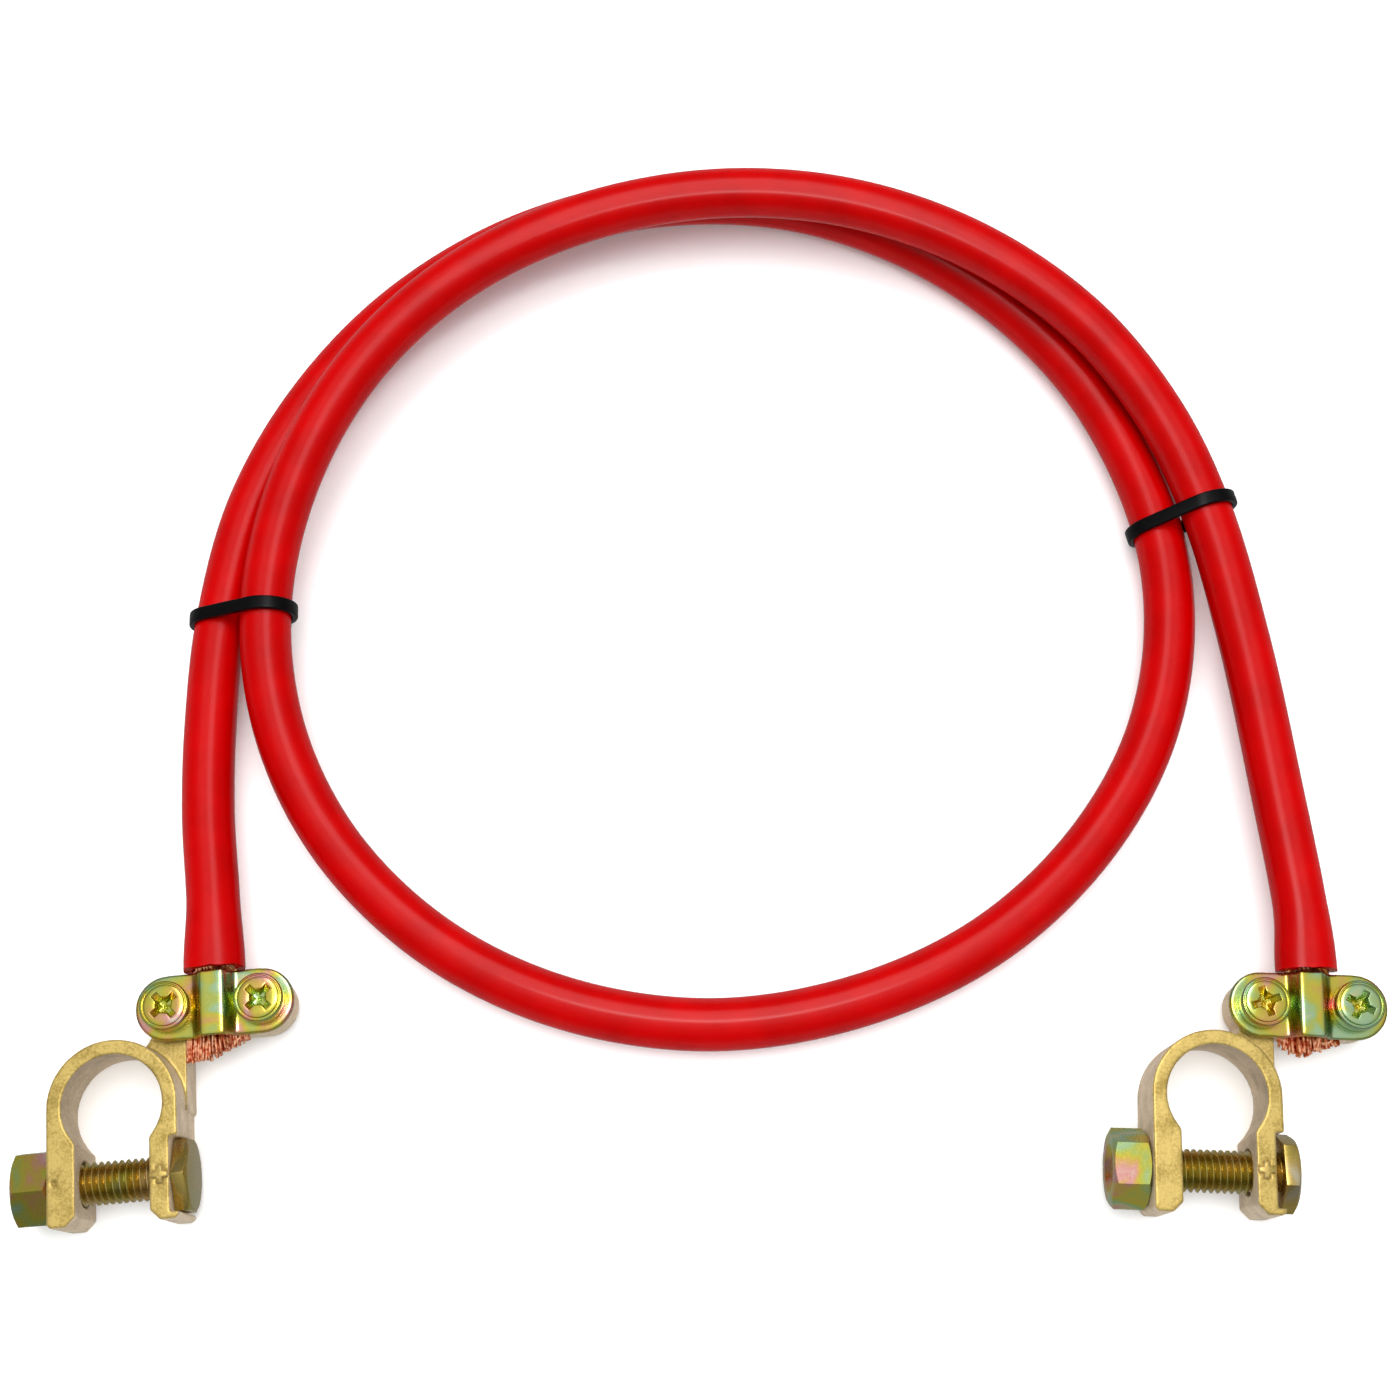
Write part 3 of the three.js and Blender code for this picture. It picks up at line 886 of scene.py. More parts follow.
@dataclass(frozen=True)
class ClampSizes:
    """The sizes that a clamp's pieces share, in millimetres in the clamp's own frame."""

    height: float = 15.0
    ring_radius: float = 11.9
    bolt_y: float = -13.2
    recess_x: float = 10.3
    arm_height: float = 8.0
    saddle_x: float = 18.4
    saddle_y: float = 17.5
    screw_pitch: float = 17.4
    strap_radius: float = 6.1
    strap_underside: float = 9.4
    strap_thickness: float = 1.6
    cable_end_y: float = 24.6
    clearance: float = 0.1

    @property
    def strap_top(self) -> float:
        """Height of the strap's flat ends."""
        return self.strap_underside + self.strap_thickness

    @property
    def bolt_z(self) -> float:
        """Height of the bolt's axis."""
        return self.height / 2


@dataclass(frozen=True)
class MarkSizes:
    """The polarity mark on the right jaw: a raised plus in a shallow sink."""

    x: float = 8.5
    half_length: float = 1.5
    half_width: float = 0.48
    rise: float = 0.3
    sink: float = 0.3
    margin: float = 0.28
    root: float = 1.0
    edge: float = 0.08


@dataclass(frozen=True)
class HexagonSizes:
    """The hexagon of the bolt's head and of the nut, its corners turned off at an angle."""

    across_flats: float = 12.9
    face_inset: float = 0.15
    past_corner: float = 0.4
    chamfer_angle: float = 28.0
    edge: float = 0.14


@dataclass(frozen=True)
class BoltSizes:
    """The clamp bolt, M8 in size, and its nut."""

    length: float = 30.0
    head: float = 2.9
    radius: float = 3.95
    thread_pitch: float = 1.25
    thread_depth: float = 0.72
    into_head: float = 0.6
    nut: float = 6.8
    nut_mouth: float = 4.5
    nut_minor: float = 3.45
    nut_major: float = 4.15
    nut_runout: float = 0.9


@dataclass(frozen=True)
class RecessSizes:
    """The cross recess of a saddle screw: wings, sized at the crown and at the bottom, and a square cone."""

    depth: float = 2.5
    over: float = 0.4
    wing_reach: tuple[float, float] = (3.05, 1.3)
    wing_half: tuple[float, float] = (0.72, 0.42)
    cone_mouth: float = 2.4
    cone_crown: float = 2.25
    cone_foot: float = 0.5
    foot_drop: float = 0.2
    tip_drop: float = 0.5


@dataclass(frozen=True)
class ScrewSizes:
    """A saddle screw, M5 in size; its head's outline is insets from the radius and heights over the seat."""

    radius: float = 4.6
    height: float = 3.6
    spring_washer: tuple[tuple[float, float], ...] = ((0.1, 0.0), (0.0, 0.12), (0.0, 0.75))
    washer_gap: tuple[tuple[float, float], ...] = ((0.35, 0.85), (0.35, 1.05))
    side: tuple[tuple[float, float], ...] = ((0.0, 1.15), (0.0, 2.9))
    rim: tuple[tuple[float, float], ...] = ((0.1, 3.2), (0.28, 3.36), (0.42, 3.4))
    ring_line: tuple[tuple[float, float], ...] = ((0.5, 3.0), (0.72, 3.0))
    crown_edge: tuple[tuple[float, float], ...] = ((0.82, 3.42), (1.4, 3.56))
    edge: float = 0.1
    shank_radius: float = 2.45
    shank_length: float = 10.0
    thread_pitch: float = 0.8
    thread_depth: float = 0.45
    into_head: float = 0.3

    @property
    def outline(self) -> list[tuple[float, float]]:
        """The head's outline from its seat to its crown."""
        parts = (self.spring_washer, self.washer_gap, self.side, self.rim, self.ring_line, self.crown_edge)
        return [point for part in parts for point in part]


@dataclass
class PostClamp:
    """One clamp with its bolt, nut, saddle strap and screws."""

    lie: ClampLie
    cable_end: Sequence[float]
    sizes: ClampSizes = ClampSizes()
    mark: MarkSizes = MarkSizes()
    hexagons: HexagonSizes = HexagonSizes()
    bolting: BoltSizes = BoltSizes()
    screws: ScrewSizes = ScrewSizes()
    recesses: RecessSizes = RecessSizes()
    casting_voxel: float = 0.25
    strap_voxel: float = 0.2
    pit_radius: float = 0.6

    @property
    def prefix(self) -> str:
        """The prefix of this clamp's nodes."""
        return self.lie.side.value

    @property
    def place(self) -> Matrix:
        """From the clamp's own frame in millimetres to the part's frame in metres.

        Returns:
            The frame as a matrix.
        """
        turn = Matrix.Rotation(math.radians(self.lie.turn), 4, "Z")
        saddle = turn @ Vector((self.sizes.saddle_x, self.sizes.cable_end_y, 0)) * MM
        origin = Vector((self.cable_end[0], self.cable_end[1], 0)) - saddle
        return Matrix.Translation(origin) @ turn @ Matrix.Scale(MM, 4)

    def solid_of(self, node: str) -> bmesh.types.BMesh:
        """A CAD node's solid in this clamp's own frame, its corners merged.

        Args:
            node: the node's name without the clamp's prefix.

        Returns:
            The solid in millimetres.
        """
        bm = bmesh.new()
        bm.from_mesh(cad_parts[f"{self.prefix}_{node}"].data)
        bm.transform(self.place.inverted())
        bmesh.ops.remove_doubles(bm, verts=bm.verts, dist=1e-3)
        return bm

    def piece(self, bm: bmesh.types.BMesh, node: str, material: bpy.types.Material,
              crisp: bool = True) -> bpy.types.Object:
        """Place a mesh of the clamp's own frame and make it the piece of a node.

        Args:
            bm: the mesh in millimetres.
            node: the node's name without the clamp's prefix.
            material: the piece's finish.
            crisp: whether sharp edges stay sharp in the shading.

        Returns:
            The piece.
        """
        bm.transform(self.place)
        name = f"{self.prefix}_{node}"
        return finished(bm, f"{name}_fine", material, [name], crisp)

    def casting(self) -> bmesh.types.BMesh:
        """The casting with the soft edges of the sand mould, its pits and the raised plus mark.

        Returns:
            The closed casting.
        """
        top, mark = self.sizes.height, self.mark
        sink = self.plus_mark(mark.margin, top - mark.sink, top + mark.root)
        blank = combined(self.solid_of("clamp_body"), sink, BooleanKind.DIFFERENCE)
        for x, y in self.lie.pits:
            pit = bmesh.new()
            place = Matrix.Translation((x, y, top))
            bmesh.ops.create_icosphere(pit, subdivisions=2, radius=self.pit_radius, matrix=place)
            blank = combined(blank, pit, BooleanKind.DIFFERENCE)
        skin = softened(blank, voxel=self.casting_voxel, rounds=3)
        plus = self.plus_mark(0.0, top - mark.root, top + mark.rise)
        rounded(plus, mark.edge, least=60, segments=1)
        return joined([skin, plus])

    def plus_mark(self, margin: float, bottom: float, top: float) -> bmesh.types.BMesh:
        """The polarity mark on the right jaw's upper face, or the shallow sink round it.

        Args:
            margin: how much wider than the mark itself.
            bottom: its lower height.
            top: its upper height.

        Returns:
            The closed plus shape.
        """
        x, y = self.mark.x, self.sizes.bolt_y
        long, short = self.mark.half_length + margin, self.mark.half_width + margin
        across = box_shape((x - long, y - short, bottom), (x + long, y + short, top))
        along = box_shape((x - short, y - long, bottom), (x + short, y + long, top))
        return combined(across, along, BooleanKind.UNION)

    def strap(self) -> bmesh.types.BMesh:
        """The pressed saddle strap, its edges rolled over by the press."""
        return softened(self.solid_of("saddle_strap"), voxel=self.strap_voxel, rounds=36)

    def thread(self, radius: float, pitch: float, depth: float, start: float,
               end: float) -> bmesh.types.BMesh:
        """A threaded bar about Z with a chamfered tip at its start.

        Args:
            radius: over the crests.
            pitch: from crest to crest.
            depth: from crest to root.
            start: height of the tip.
            end: height where the bar runs into its head.

        Returns:
            The closed bar.
        """
        steps_per_turn = 32
        flank = 0.44
        turns = math.ceil((end - start) / pitch) + 2
        bm = bmesh.new()
        root = radius - depth
        groove = [(0.0, root), (flank, radius), (1 - flank, radius), (1.0, root)]
        vertices = [bm.verts.new((r, 0.0, start - pitch * (1 - share))) for share, r in groove]
        edges = [bm.edges.new(pair) for pair in zip(vertices, vertices[1:])]
        bmesh.ops.spin(bm, geom=vertices + edges, cent=(0, 0, 0), axis=(0, 0, 1),
                       dvec=(0, 0, pitch / steps_per_turn), angle=math.tau * turns,
                       steps=steps_per_turn * turns, use_merge=False, use_duplicate=False)
        bmesh.ops.remove_doubles(bm, verts=bm.verts, dist=1e-3)
        for height, upper in ((start, False), (end, True)):
            bmesh.ops.bisect_plane(bm, geom=[*bm.verts, *bm.edges, *bm.faces], plane_co=(0, 0, height),
                                   plane_no=(0, 0, 1), clear_outer=upper, clear_inner=not upper)
        bmesh.ops.holes_fill(bm, edges=[edge for edge in bm.edges if edge.is_boundary], sides=0)
        for vertex in bm.verts:
            most = root + (vertex.co.z - start)
            reach = vertex.co.xy.length
            if reach > most:
                vertex.co.xy *= most / reach
        bmesh.ops.recalc_face_normals(bm, faces=bm.faces)
        return bm

    def hexagon(self, thickness: float, chamfer: tuple[bool, bool], turn: float) -> bmesh.types.BMesh:
        """A hexagon about Z from 0 to its thickness, with its corners turned off at one or both faces.

        Args:
            thickness: its height.
            chamfer: whether the lower and the upper corners are turned off.
            turn: its turn about Z in degrees.

        Returns:
            The closed hexagon.
        """
        sizes = self.hexagons
        corner = sizes.across_flats / math.sqrt(3)
        flat = sizes.across_flats / 2 - sizes.face_inset
        outer = corner + sizes.past_corner
        drop = (outer - flat) * math.tan(math.radians(sizes.chamfer_angle))
        bm = bmesh.new()
        # Blender's cone starts at +Y, and 30 degrees bring a corner up.
        spin = Matrix.Rotation(math.radians(turn + 30), 4, "Z")
        bmesh.ops.create_cone(bm, cap_ends=True, segments=6, radius1=corner, radius2=corner, depth=thickness,
                              matrix=Matrix.Translation((0, 0, thickness / 2)) @ spin)
        low = [(flat, 0.0), (outer, drop)] if chamfer[0] else [(outer, 0.0)]
        high = [(outer, thickness - drop), (flat, thickness)] if chamfer[1] else [(outer, thickness)]
        blank = turned([(0.0, 0.0), *low, *high, (0.0, thickness)], steps=96)
        bm = combined(bm, blank, BooleanKind.INTERSECT)
        bmesh.ops.remove_doubles(bm, verts=bm.verts, dist=1e-3)
        bmesh.ops.dissolve_limit(bm, angle_limit=math.radians(1), verts=bm.verts, edges=bm.edges)
        return bm

    def on_bolt(self, bm: bmesh.types.BMesh, x: float) -> bmesh.types.BMesh:
        """Lay a shape that is drawn about Z on the bolt's axis, its Z along +X.

        Args:
            bm: the shape, moved in place.
            x: where its 0 comes.

        Returns:
            The same shape.
        """
        lay = Matrix.Rotation(math.radians(90), 4, "Y")
        bm.transform(Matrix.Translation((x, self.sizes.bolt_y, self.sizes.bolt_z)) @ lay)
        return bm

    def bolt(self) -> bmesh.types.BMesh:
        """The clamp bolt: a thin hexagon head and a thread over its whole length.

        Returns:
            The closed bolt.
        """
        sizes = self.bolting
        head = self.hexagon(sizes.head, (False, True), self.lie.head_turn)
        rounded(head, self.hexagons.edge, least=25)
        shank = self.thread(sizes.radius, sizes.thread_pitch, sizes.thread_depth, -sizes.length,
                            sizes.into_head)
        seat = self.sizes.recess_x + self.sizes.clearance + self.lie.bolt_out
        return self.on_bolt(joined([head, shank]), seat)

    def nut(self) -> bmesh.types.BMesh:
        """The nut: a hexagon with turned corners, a countersunk bore and the grooves of its thread.

        Returns:
            The closed nut.
        """
        sizes = self.bolting
        thickness, mouth, minor = sizes.nut, sizes.nut_mouth, sizes.nut_minor
        hexagon = self.hexagon(thickness, (True, True), self.lie.nut_turn)
        profile = [(0.0, -1.0), (mouth, -1.0), (mouth, 0.0)]
        height = mouth - minor
        while height < thickness - (mouth - minor):
            profile += [(minor, height), (sizes.nut_major, height + sizes.thread_pitch / 2)]
            height += sizes.thread_pitch
        profile += [(minor, min(height, thickness - sizes.nut_runout)), (mouth, thickness),
                    (mouth, thickness + 1), (0.0, thickness + 1)]
        bored = combined(hexagon, turned(profile, steps=48), BooleanKind.DIFFERENCE)
        return self.on_bolt(bored, -self.sizes.ring_radius - self.sizes.clearance - thickness)

    def recess(self, crown: float) -> bmesh.types.BMesh:
        """The cutter of a cross recess: two tapered wings and a square cone between them.

        Args:
            crown: the height of the screw's crown.

        Returns:
            The closed cutter.
        """
        sizes = self.recesses
        bottom, over = crown - sizes.depth, crown + sizes.over
        wings = []
        for turn in (0, 90):
            wing = box_shape((-1, -1, -1), (1, 1, 1))
            for vertex in wing.verts:
                end = 0 if vertex.co.z > 0 else 1
                reach, half = sizes.wing_reach[end], sizes.wing_half[end]
                vertex.co = Vector((reach * vertex.co.x, half * vertex.co.y, (over, bottom)[end]))
            wing.transform(Matrix.Rotation(math.radians(turn), 4, "Z"))
            wings.append(wing)
        cone = turned([(0.0, bottom - sizes.tip_drop), (sizes.cone_foot, bottom - sizes.foot_drop),
                       (sizes.cone_crown, crown), (sizes.cone_mouth, over), (0.0, over)], steps=4)
        return combined(combined(*wings, BooleanKind.UNION), cone, BooleanKind.UNION)

    def screw(self, x: float, turn: float) -> bmesh.types.BMesh:
        """A saddle screw: a deep pan head with a cross recess on a spring washer, and its threaded shank.

        Args:
            x: its place along the saddle.
            turn: the turn of its recess in degrees.

        Returns:
            The closed screw.
        """
        sizes = self.screws
        seat = self.sizes.strap_top + self.sizes.clearance
        crown = seat + sizes.height
        outline = [(sizes.radius - inset, seat + height) for inset, height in sizes.outline]
        blank = turned([(0.0, seat), *outline, (0.0, crown)], steps=72)
        head = combined(blank, self.recess(crown), BooleanKind.DIFFERENCE)
        rounded(head, sizes.edge, least=50)
        shank = self.thread(sizes.shank_radius, sizes.thread_pitch, sizes.thread_depth,
                            seat - sizes.shank_length, seat + sizes.into_head)
        screw = joined([head, shank])
        spin = Matrix.Rotation(math.radians(turn), 4, "Z")
        screw.transform(Matrix.Translation((x, self.sizes.saddle_y, 0)) @ spin)
        return screw

    def build(self, casting: bpy.types.Material, plated: bpy.types.Material,
              bolt_plated: bpy.types.Material) -> list[bpy.types.Object]:
        """Make all the clamp's pieces.

        Args:
            casting: the finish of the cast body.
            plated: the finish of the strap, the nut and the screws.
            bolt_plated: the finish of the bolt.

        Returns:
            The pieces.
        """
        sizes = self.sizes
        half = sizes.screw_pitch / 2
        inner, outer = self.lie.screw_turns
        return [
            self.piece(self.casting(), "clamp_body", casting, crisp=False),
            self.piece(self.strap(), "saddle_strap", plated, crisp=False),
            self.piece(self.bolt(), "clamp_bolt", bolt_plated),
            self.piece(self.nut(), "clamp_nut", plated),
            self.piece(self.screw(sizes.saddle_x - half, inner), "saddle_screw_inner", plated),
            self.piece(self.screw(sizes.saddle_x + half, outer), "saddle_screw_outer", plated),
        ]


@dataclass
class Conductor:
    """The copper: a core inside the jacket, and at each end its cut wires, squeezed flat under the strap.

    The core is sized in metres, and the wires in millimetres in the clamp's own frame.
    """

    route: CableRoute
    clamps: Sequence[PostClamp]
    core_radius: float = 3.3 * MM
    core_inset: float = 2.5 * MM
    core_step: float = 6.0 * MM
    core_sides: int = 16
    wires: int = 127
    wire_radius: float = 0.25
    bundle_radius: float = 3.1
    bundle_turn: float = 0.5
    half_width: float = 5.6
    crowding: float = 1.15
    over_arm: float = 0.25
    under_strap: float = 0.35
    hump_height: float = 1.9
    hump_half_width: float = 3.6
    round_side: float = 0.98
    thinnest_side: float = 0.05
    from_mouth: tuple[float, ...] = (4.0, 0.6, -1.0, -3.2)
    from_front: tuple[float, ...] = (1.2, -0.2)
    least_reach: float = 0.25
    uneven: tuple[float, float] = (-0.7, 0.35)
    lean: tuple[float, float] = (-0.7, 0.7)
    fan: float = 0.25
    droop: tuple[float, float] = (-0.9, 0.3)
    early_lean: float = 0.3
    early_droop: float = 0.15
    seed: int = 11

    def core(self) -> bmesh.types.BMesh:
        """The round core, from just inside one end of the jacket to just inside the other.

        Returns:
            The closed core in metres.
        """
        span = self.route.length - 2 * self.core_inset
        steps = round(span / self.core_step)
        frames = [self.route.frame_at(self.core_inset + span * i / steps, self.core_radius, self.core_radius)
                  for i in range(steps + 1)]
        return bar(frames, self.core_sides)

    def wire(self, points: Sequence[Vector]) -> bmesh.types.BMesh:
        """One wire of six sides.

        Args:
            points: the wire's middle line, in millimetres.

        Returns:
            The wire, closed at both ends.
        """
        frames = []
        for number, point in enumerate(points):
            before, after = points[max(number - 1, 0)], points[min(number + 1, len(points) - 1)]
            turn = (after - before).to_track_quat("Z", "X").to_matrix().to_4x4()
            frames.append(Matrix.Translation(point) @ turn @ Matrix.Scale(self.wire_radius, 4))
        return bar(frames, sides=6)

    def round_place(self, u: float, v: float) -> tuple[float, float]:
        """A wire's place in the round bundle.

        Args:
            u: its place across the bundle, from -1 to 1.
            v: its place up the bundle, from -1 to 1.

        Returns:
            How far it lies to the side of the cable's middle and above it.
        """
        cosine, sine = math.cos(self.bundle_turn), math.sin(self.bundle_turn)
        return self.bundle_radius * (u * cosine - v * sine), self.bundle_radius * (u * sine + v * cosine)

    def flat_place(self, u: float, v: float, sizes: ClampSizes) -> tuple[float, float]:
        """A wire's place under the strap, where the bundle is flat with a hump in its middle.

        Args:
            u: its place across the bundle, from -1 to 1.
            v: its place up the bundle, from -1 to 1.
            sizes: the clamp's sizes.

        Returns:
            Its place across the saddle, from -1 to 1, and its height.
        """
        level = min(1.0, max(-1.0, u * self.crowding))
        off_hump = min(1.0, abs(level) * self.half_width / self.hump_half_width)
        hump = self.hump_height * max(0.0, math.cos(off_hump * math.pi / 2))
        low = sizes.arm_height + self.over_arm
        room = sizes.strap_underside - self.under_strap - low + hump
        side = math.sqrt(max(self.thinnest_side, 1 - u * u * self.round_side))
        return level, low + room * (v / side + 1) / 2

    def wire_points(self, clamp: PostClamp, number: int, draw: random.Random) -> list[Vector]:
        """One wire's middle line, from inside the jacket to its cut end.

        Args:
            clamp: the clamp that holds it.
            number: which of the wires.
            draw: the source of its spread.

        Returns:
            Points in millimetres in the clamp's own frame.
        """
        sizes = clamp.sizes
        radius = math.sqrt((number + 0.5) / self.wires)
        u, v = radius * math.cos(number * GOLDEN_ANGLE), radius * math.sin(number * GOLDEN_ANGLE)
        level, flat_z = self.flat_place(u, v, sizes)
        flat_x = sizes.saddle_x + level * self.half_width
        to_side, rise = self.round_place(u, v)
        round_x, round_z = sizes.saddle_x + to_side, clamp.cable_end[2] / MM + rise
        reach = clamp.lie.bundle_end(level) + draw.uniform(*self.uneven)
        lean = draw.uniform(*self.lean) - self.fan * level
        droop = draw.uniform(*self.droop)
        front = sizes.saddle_y - sizes.strap_radius
        in_jacket, mouth, half_way, squeezed = (sizes.cable_end_y + shift for shift in self.from_mouth)
        behind_front, past_front = (front + shift for shift in self.from_front)
        return [
            Vector((round_x, in_jacket, round_z)),
            Vector((round_x, mouth, round_z)),
            Vector(((round_x + flat_x) / 2, half_way, (round_z + flat_z) / 2)),
            Vector((flat_x, squeezed, flat_z)),
            Vector((flat_x, behind_front, flat_z)),
            Vector((flat_x + self.early_lean * lean, past_front, flat_z + self.early_droop * droop)),
            Vector((flat_x + lean, front - max(self.least_reach, reach), flat_z + droop)),
        ]

    def end_of_bundle(self, clamp: PostClamp, draw: random.Random) -> bmesh.types.BMesh:
        """All the wires at one clamp.

        Args:
            clamp: the clamp that holds them.
            draw: the source of their spread.

        Returns:
            The wires in metres in the part's frame.
        """
        bundle = joined(self.wire(self.wire_points(clamp, number, draw)) for number in range(self.wires))
        bundle.transform(clamp.place)
        return bundle

    def build(self, material: bpy.types.Material) -> bpy.types.Object:
        """Make the conductor's piece.

        Args:
            material: its finish.

        Returns:
            The piece.
        """
        draw = random.Random(self.seed)
        shapes = [self.core(), *(self.end_of_bundle(clamp, draw) for clamp in self.clamps)]
        return finished(joined(shapes), "conductor_wires", material, ["copper_conductor"])


@dataclass
class CableTie:
    """A nylon tie drawn tight round two strands, with its head in the hollow below."""

    node: str
    low: Vector
    high: Vector
    radius: float = 5.12
    width: float = 2.6
    thickness: float = 1.15
    head_shift: float = 2.4
    head_length: float = 5.0
    head_width: float = 4.4
    head_height: float = 3.4
    head_gap: float = 0.3
    head_edge: float = 0.5
    band_sides: int = 64
    band_edge: float = 0.28
    tail_drop: float = 1.84
    tail_half: float = 0.5
    tail_root: float = 1.0
    tail_stub: float = 1.2
    tail_edge: float = 0.15

    @property
    def place(self) -> Matrix:
        """From the tie's own frame, X from the low strand to the high one and Z along the cable.

        Returns:
            The matrix to the part's frame.
        """
        across = (self.high - self.low).normalized()
        along = Vector((-across.y, across.x, 0)).normalized()
        axes = Matrix((across, along.cross(across), along)).transposed().to_4x4()
        return Matrix.Translation((self.low + self.high) / 2) @ axes @ Matrix.Scale(MM, 4)

    def band(self) -> bmesh.types.BMesh:
        """The strap, bent round both strands.

        Returns:
            The closed band in millimetres.
        """
        half = (self.high - self.low).length / 2 / MM
        bm = bmesh.new()
        half_step = Matrix.Rotation(math.tau / (2 * self.band_sides), 4, "Z")
        loop = bmesh.ops.create_circle(bm, segments=self.band_sides, radius=self.radius,
                                       matrix=half_step)["verts"]
        for vertex in loop:
            vertex.co.x += math.copysign(half, vertex.co.x)
            vertex.co.z = -self.width / 2
        wall = new_vertices(bmesh.ops.extrude_edge_only(bm, edges=edges_within(loop)))
        bmesh.ops.translate(bm, vec=(0, 0, self.width), verts=wall)
        bmesh.ops.recalc_face_normals(bm, faces=bm.faces)
        bmesh.ops.solidify(bm, geom=bm.faces[:], thickness=-self.thickness)
        bmesh.ops.recalc_face_normals(bm, faces=bm.faces)
        rounded(bm, self.band_edge, least=60, segments=3)
        return bm

    def head(self) -> bmesh.types.BMesh:
        """The locking head with the cut stub of the tail.

        Returns:
            The closed head in millimetres.
        """
        below = -1 if (self.place.to_3x3() @ Vector((0, 1, 0))).z > 0 else 1
        near, far = sorted((below * (self.radius + self.head_gap), below * (self.radius + self.head_height)))
        left, right = self.head_shift - self.head_length / 2, self.head_shift + self.head_length / 2
        block = box_shape((left, near, -self.head_width / 2), (right, far, self.head_width / 2))
        rounded(block, self.head_edge, least=60, segments=3)
        tail_y = below * (self.radius + self.tail_drop)
        tail = box_shape((right - self.tail_root, tail_y - self.tail_half, -self.width / 2),
                         (right + self.tail_stub, tail_y + self.tail_half, self.width / 2))
        rounded(tail, self.tail_edge, least=60)
        return combined(block, tail, BooleanKind.UNION)

    def build(self, material: bpy.types.Material) -> bpy.types.Object:
        """Make the tie's piece.

        Args:
            material: its finish.

        Returns:
            The piece.
        """
        bm = combined(self.band(), self.head(), BooleanKind.UNION)
        bm.transform(self.place)
        return finished(bm, f"{self.node}_fine", material, [self.node])


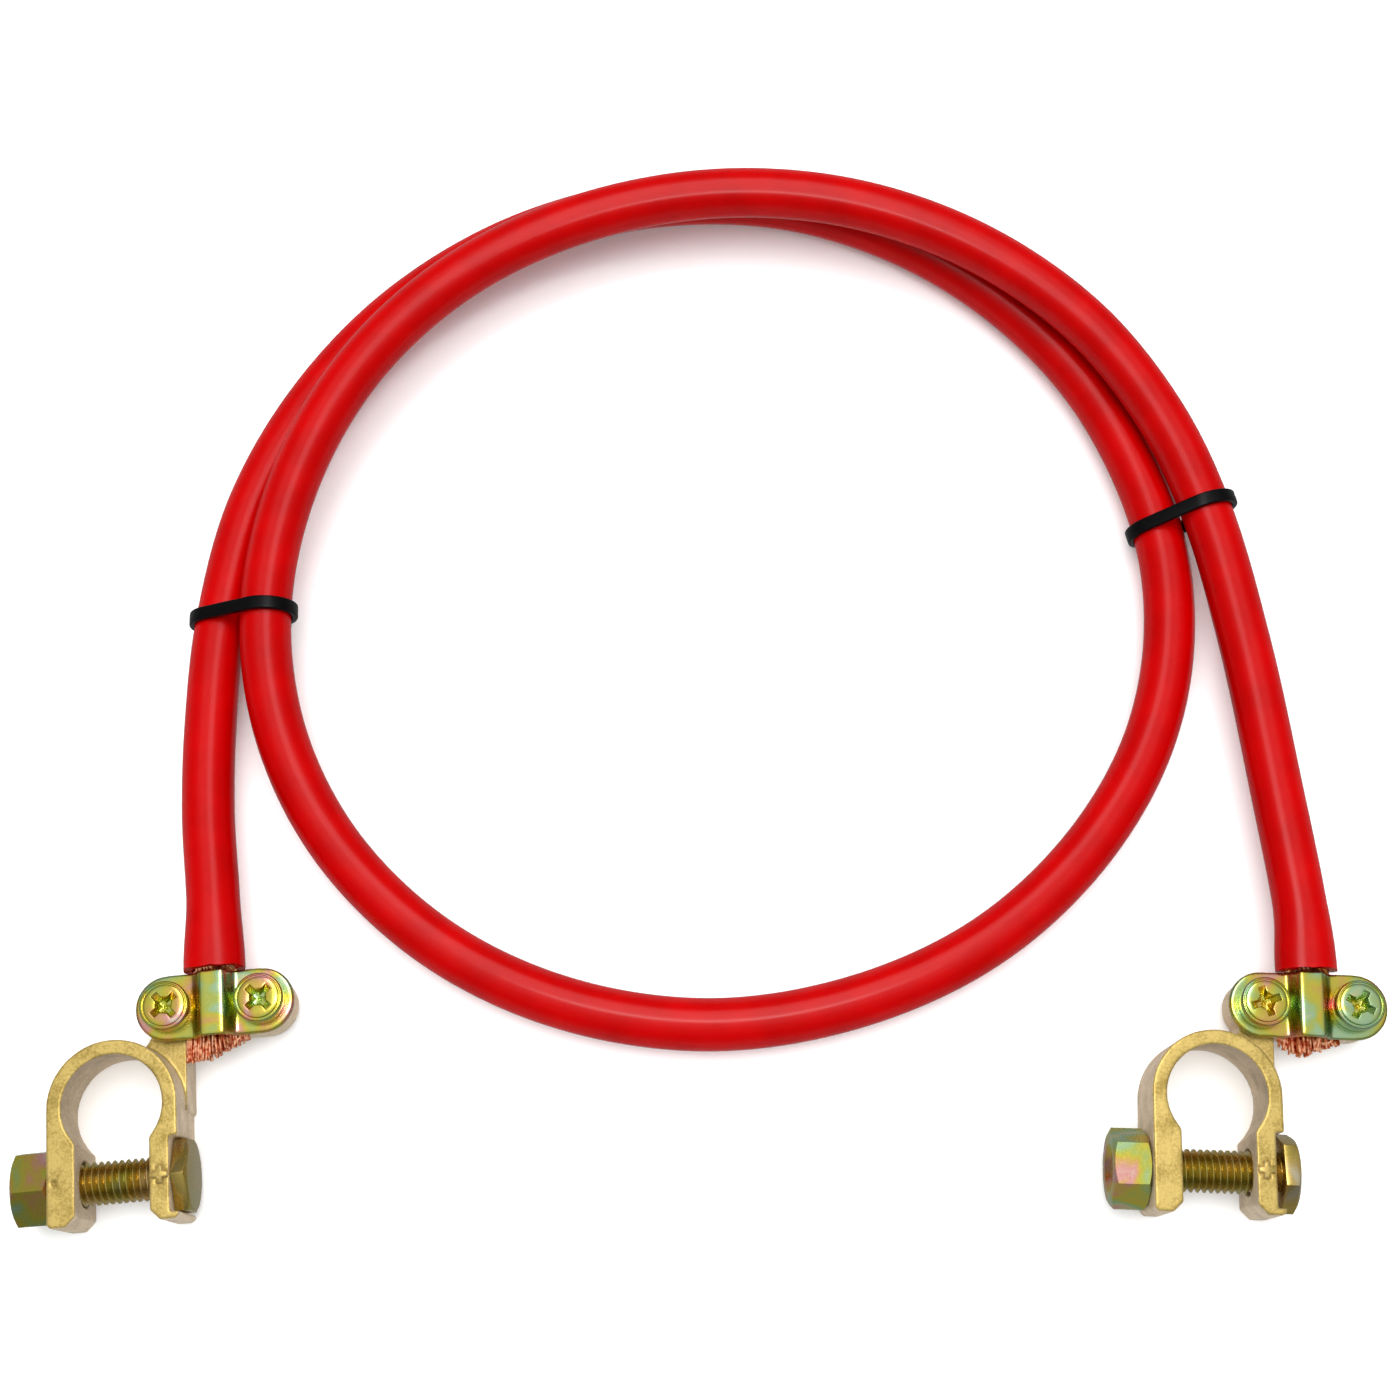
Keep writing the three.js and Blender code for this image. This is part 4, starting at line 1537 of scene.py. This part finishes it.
@dataclass
class Studio:
    """The camera at the photograph's angle, a plain pale floor and soft light from above."""

    tilt: float = 16.62
    distance: float = 442 * MM
    aim: tuple[float, float, float] = (-1.4 * MM, 79.0 * MM, 0.0)
    sensor: float = 36.0
    focal_pixels: float = 2220.0
    frame_pixels: float = 1400.0
    floor_size: float = 25.0

    def camera(self) -> None:
        """Make the camera and set it as the scene's."""
        data = bpy.data.cameras.new("camera")
        data.sensor_width = self.sensor
        data.lens = self.focal_pixels / self.frame_pixels * self.sensor
        camera = bpy.data.objects.new("camera", data)
        tilt = math.radians(self.tilt)
        camera.rotation_euler = (tilt, 0, 0)
        back = Vector((0, -math.sin(tilt), math.cos(tilt)))
        camera.location = Vector(self.aim) + back * self.distance
        bpy.context.scene.collection.objects.link(camera)
        bpy.context.scene.camera = camera

    def floor(self) -> None:
        """Make the floor."""
        bm = bmesh.new()
        bmesh.ops.create_grid(bm, x_segments=1, y_segments=1, size=self.floor_size)
        floor = object_from(bm, "floor")
        material, _, shader, _ = new_material("pale_paper")
        shader.inputs["Base Color"].default_value = linear("FAFAFA")
        shader.inputs["Roughness"].default_value = 0.9
        shader.inputs["Specular IOR Level"].default_value = 0.1
        # A little light of its own, as on a light table, thins the shadows.
        shader.inputs["Emission Color"].default_value = linear("FFFFFF")
        shader.inputs["Emission Strength"].default_value = 0.12
        floor.data.materials.append(material)
        # Polished metal mirrors the darker room below the horizon instead, as in the photograph.
        floor.visible_glossy = False

    def key_light(self, strength: float, spread: float, lean: tuple[float, float]) -> None:
        """Add the broad light that gives the shading and the soft shadow but no highlight.

        Args:
            strength: its strength.
            spread: the angle that it fills, in degrees.
            lean: its lean from the vertical towards +Y and towards +X, in degrees.
        """
        data = bpy.data.lights.new("key_light", "SUN")
        data.energy = strength
        data.angle = math.radians(spread)
        lamp = bpy.data.objects.new("key_light", data)
        lamp.rotation_euler = (-math.radians(lean[0]), math.radians(lean[1]), 0)
        lamp.visible_glossy = False
        lamp.visible_camera = False
        bpy.context.scene.collection.objects.link(lamp)

    def soft_box(self, name: str, place: Sequence[float], size: Sequence[float], radiance: float) -> None:
        """Add a level soft box that faces down and gives a highlight but no shading.

        Args:
            name: its name.
            place: its middle, in metres.
            size: its width and length, in metres.
            radiance: how bright its face is.
        """
        data = bpy.data.lights.new(name, "AREA")
        data.shape = "RECTANGLE"
        data.size, data.size_y = size
        data.energy = radiance * math.pi * size[0] * size[1]
        lamp = bpy.data.objects.new(name, data)
        lamp.location = place
        lamp.visible_diffuse = False
        lamp.visible_camera = False
        bpy.context.scene.collection.objects.link(lamp)

    def sky(self, overhead: float = 0.85, level: float = 0.22, below: float = 0.42) -> None:
        """Set the light of the room around the object, brighter overhead.

        Args:
            overhead: the ceiling's brightness.
            level: the walls' brightness.
            below: what polished metal mirrors of the floor.
        """
        world = bpy.data.worlds.new("pale_room")
        world.use_nodes = True
        tree = world.node_tree
        direction = add_node(tree, "TexCoord").outputs["Generated"]
        upright = add_node(tree, "SeparateXYZ", {"Vector": direction}).outputs["Z"]
        strength = add_node(tree, "MapRange", {
            "Value": upright, "From Min": 0.45, "From Max": 0.92, "To Min": level, "To Max": overhead},
            interpolation_type="SMOOTHSTEP")
        under = add_node(tree, "MapRange", {
            "Value": upright, "From Min": 0.0, "From Max": -0.15, "To Min": 0.0, "To Max": below - level})
        both = add_node(tree, "Math", {0: strength.outputs["Result"], 1: under.outputs["Result"]},
                        operation="ADD")
        background = tree.nodes["Background"]
        background.inputs["Color"].default_value = linear("F8FAFC")
        tree.links.new(both.outputs[0], background.inputs["Strength"])
        bpy.context.scene.world = world

    def build(self) -> None:
        """Make the whole studio."""
        self.camera()
        self.floor()
        self.key_light(strength=3.4, spread=65.0, lean=(10.0, 0.0))
        self.soft_box("soft_box", place=(0.0, 0.235, 0.33), size=(0.13, 0.41), radiance=3.4)
        self.soft_box("soft_box_edge", place=(0.0, 0.045, 0.328), size=(0.13, 0.035), radiance=20.0)
        self.sky()
        bpy.context.scene.view_settings.view_transform = "Standard"


def main() -> None:
    """Build the studio, the cable and the two clamps."""
    logging.basicConfig(level=logging.INFO, format="%(name)s: %(message)s")
    Studio().build()
    route = CableRoute(ROUTE)
    left = ClampLie(Side.LEFT, turn=5.0, bolt_out=0.0, head_turn=0.0, nut_turn=8.0, screw_turns=(40.0, 43.0),
                    wire_reach=((-1, 3.9), (-0.3, 3.8), (1, 0.5)), pits=((-10.5, -13.2),))
    right = ClampLie(Side.RIGHT, turn=-2.0, bolt_out=1.7, head_turn=20.0, nut_turn=26.0,
                     screw_turns=(19.0, 63.0), wire_reach=((-1, 0.6), (-0.45, 3.0), (-0.1, 2.9), (1, 0.5)))
    clamps = [PostClamp(left, ROUTE[0]), PostClamp(right, ROUTE[-1])]

    jacket = CableJacket(route).build(SoftVinyl().material())
    conductor = Conductor(route, clamps).build(BareCopper().material())
    nylon = BlackNylon().material()
    ties = [CableTie(node, *(Vector(point) for point in tied)).build(nylon)
            for node, tied in (("cable_tie_left", LEFT_TIED), ("cable_tie_right", RIGHT_TIED))]
    log.info("cable: %.4f m", route.length)

    casting = SandCastBrass().material()
    for clamp, shift in zip(clamps, (0.0, 0.013)):
        plated = YellowZinc(f"{clamp.prefix}_yellow_zinc", shift).material()
        bolt_plated = YellowZinc(f"{clamp.prefix}_bolt_yellow_zinc", shift, film=BOLT_FILM).material()
        clamp.build(casting, plated, bolt_plated)


if __name__ == "__main__":
    main()
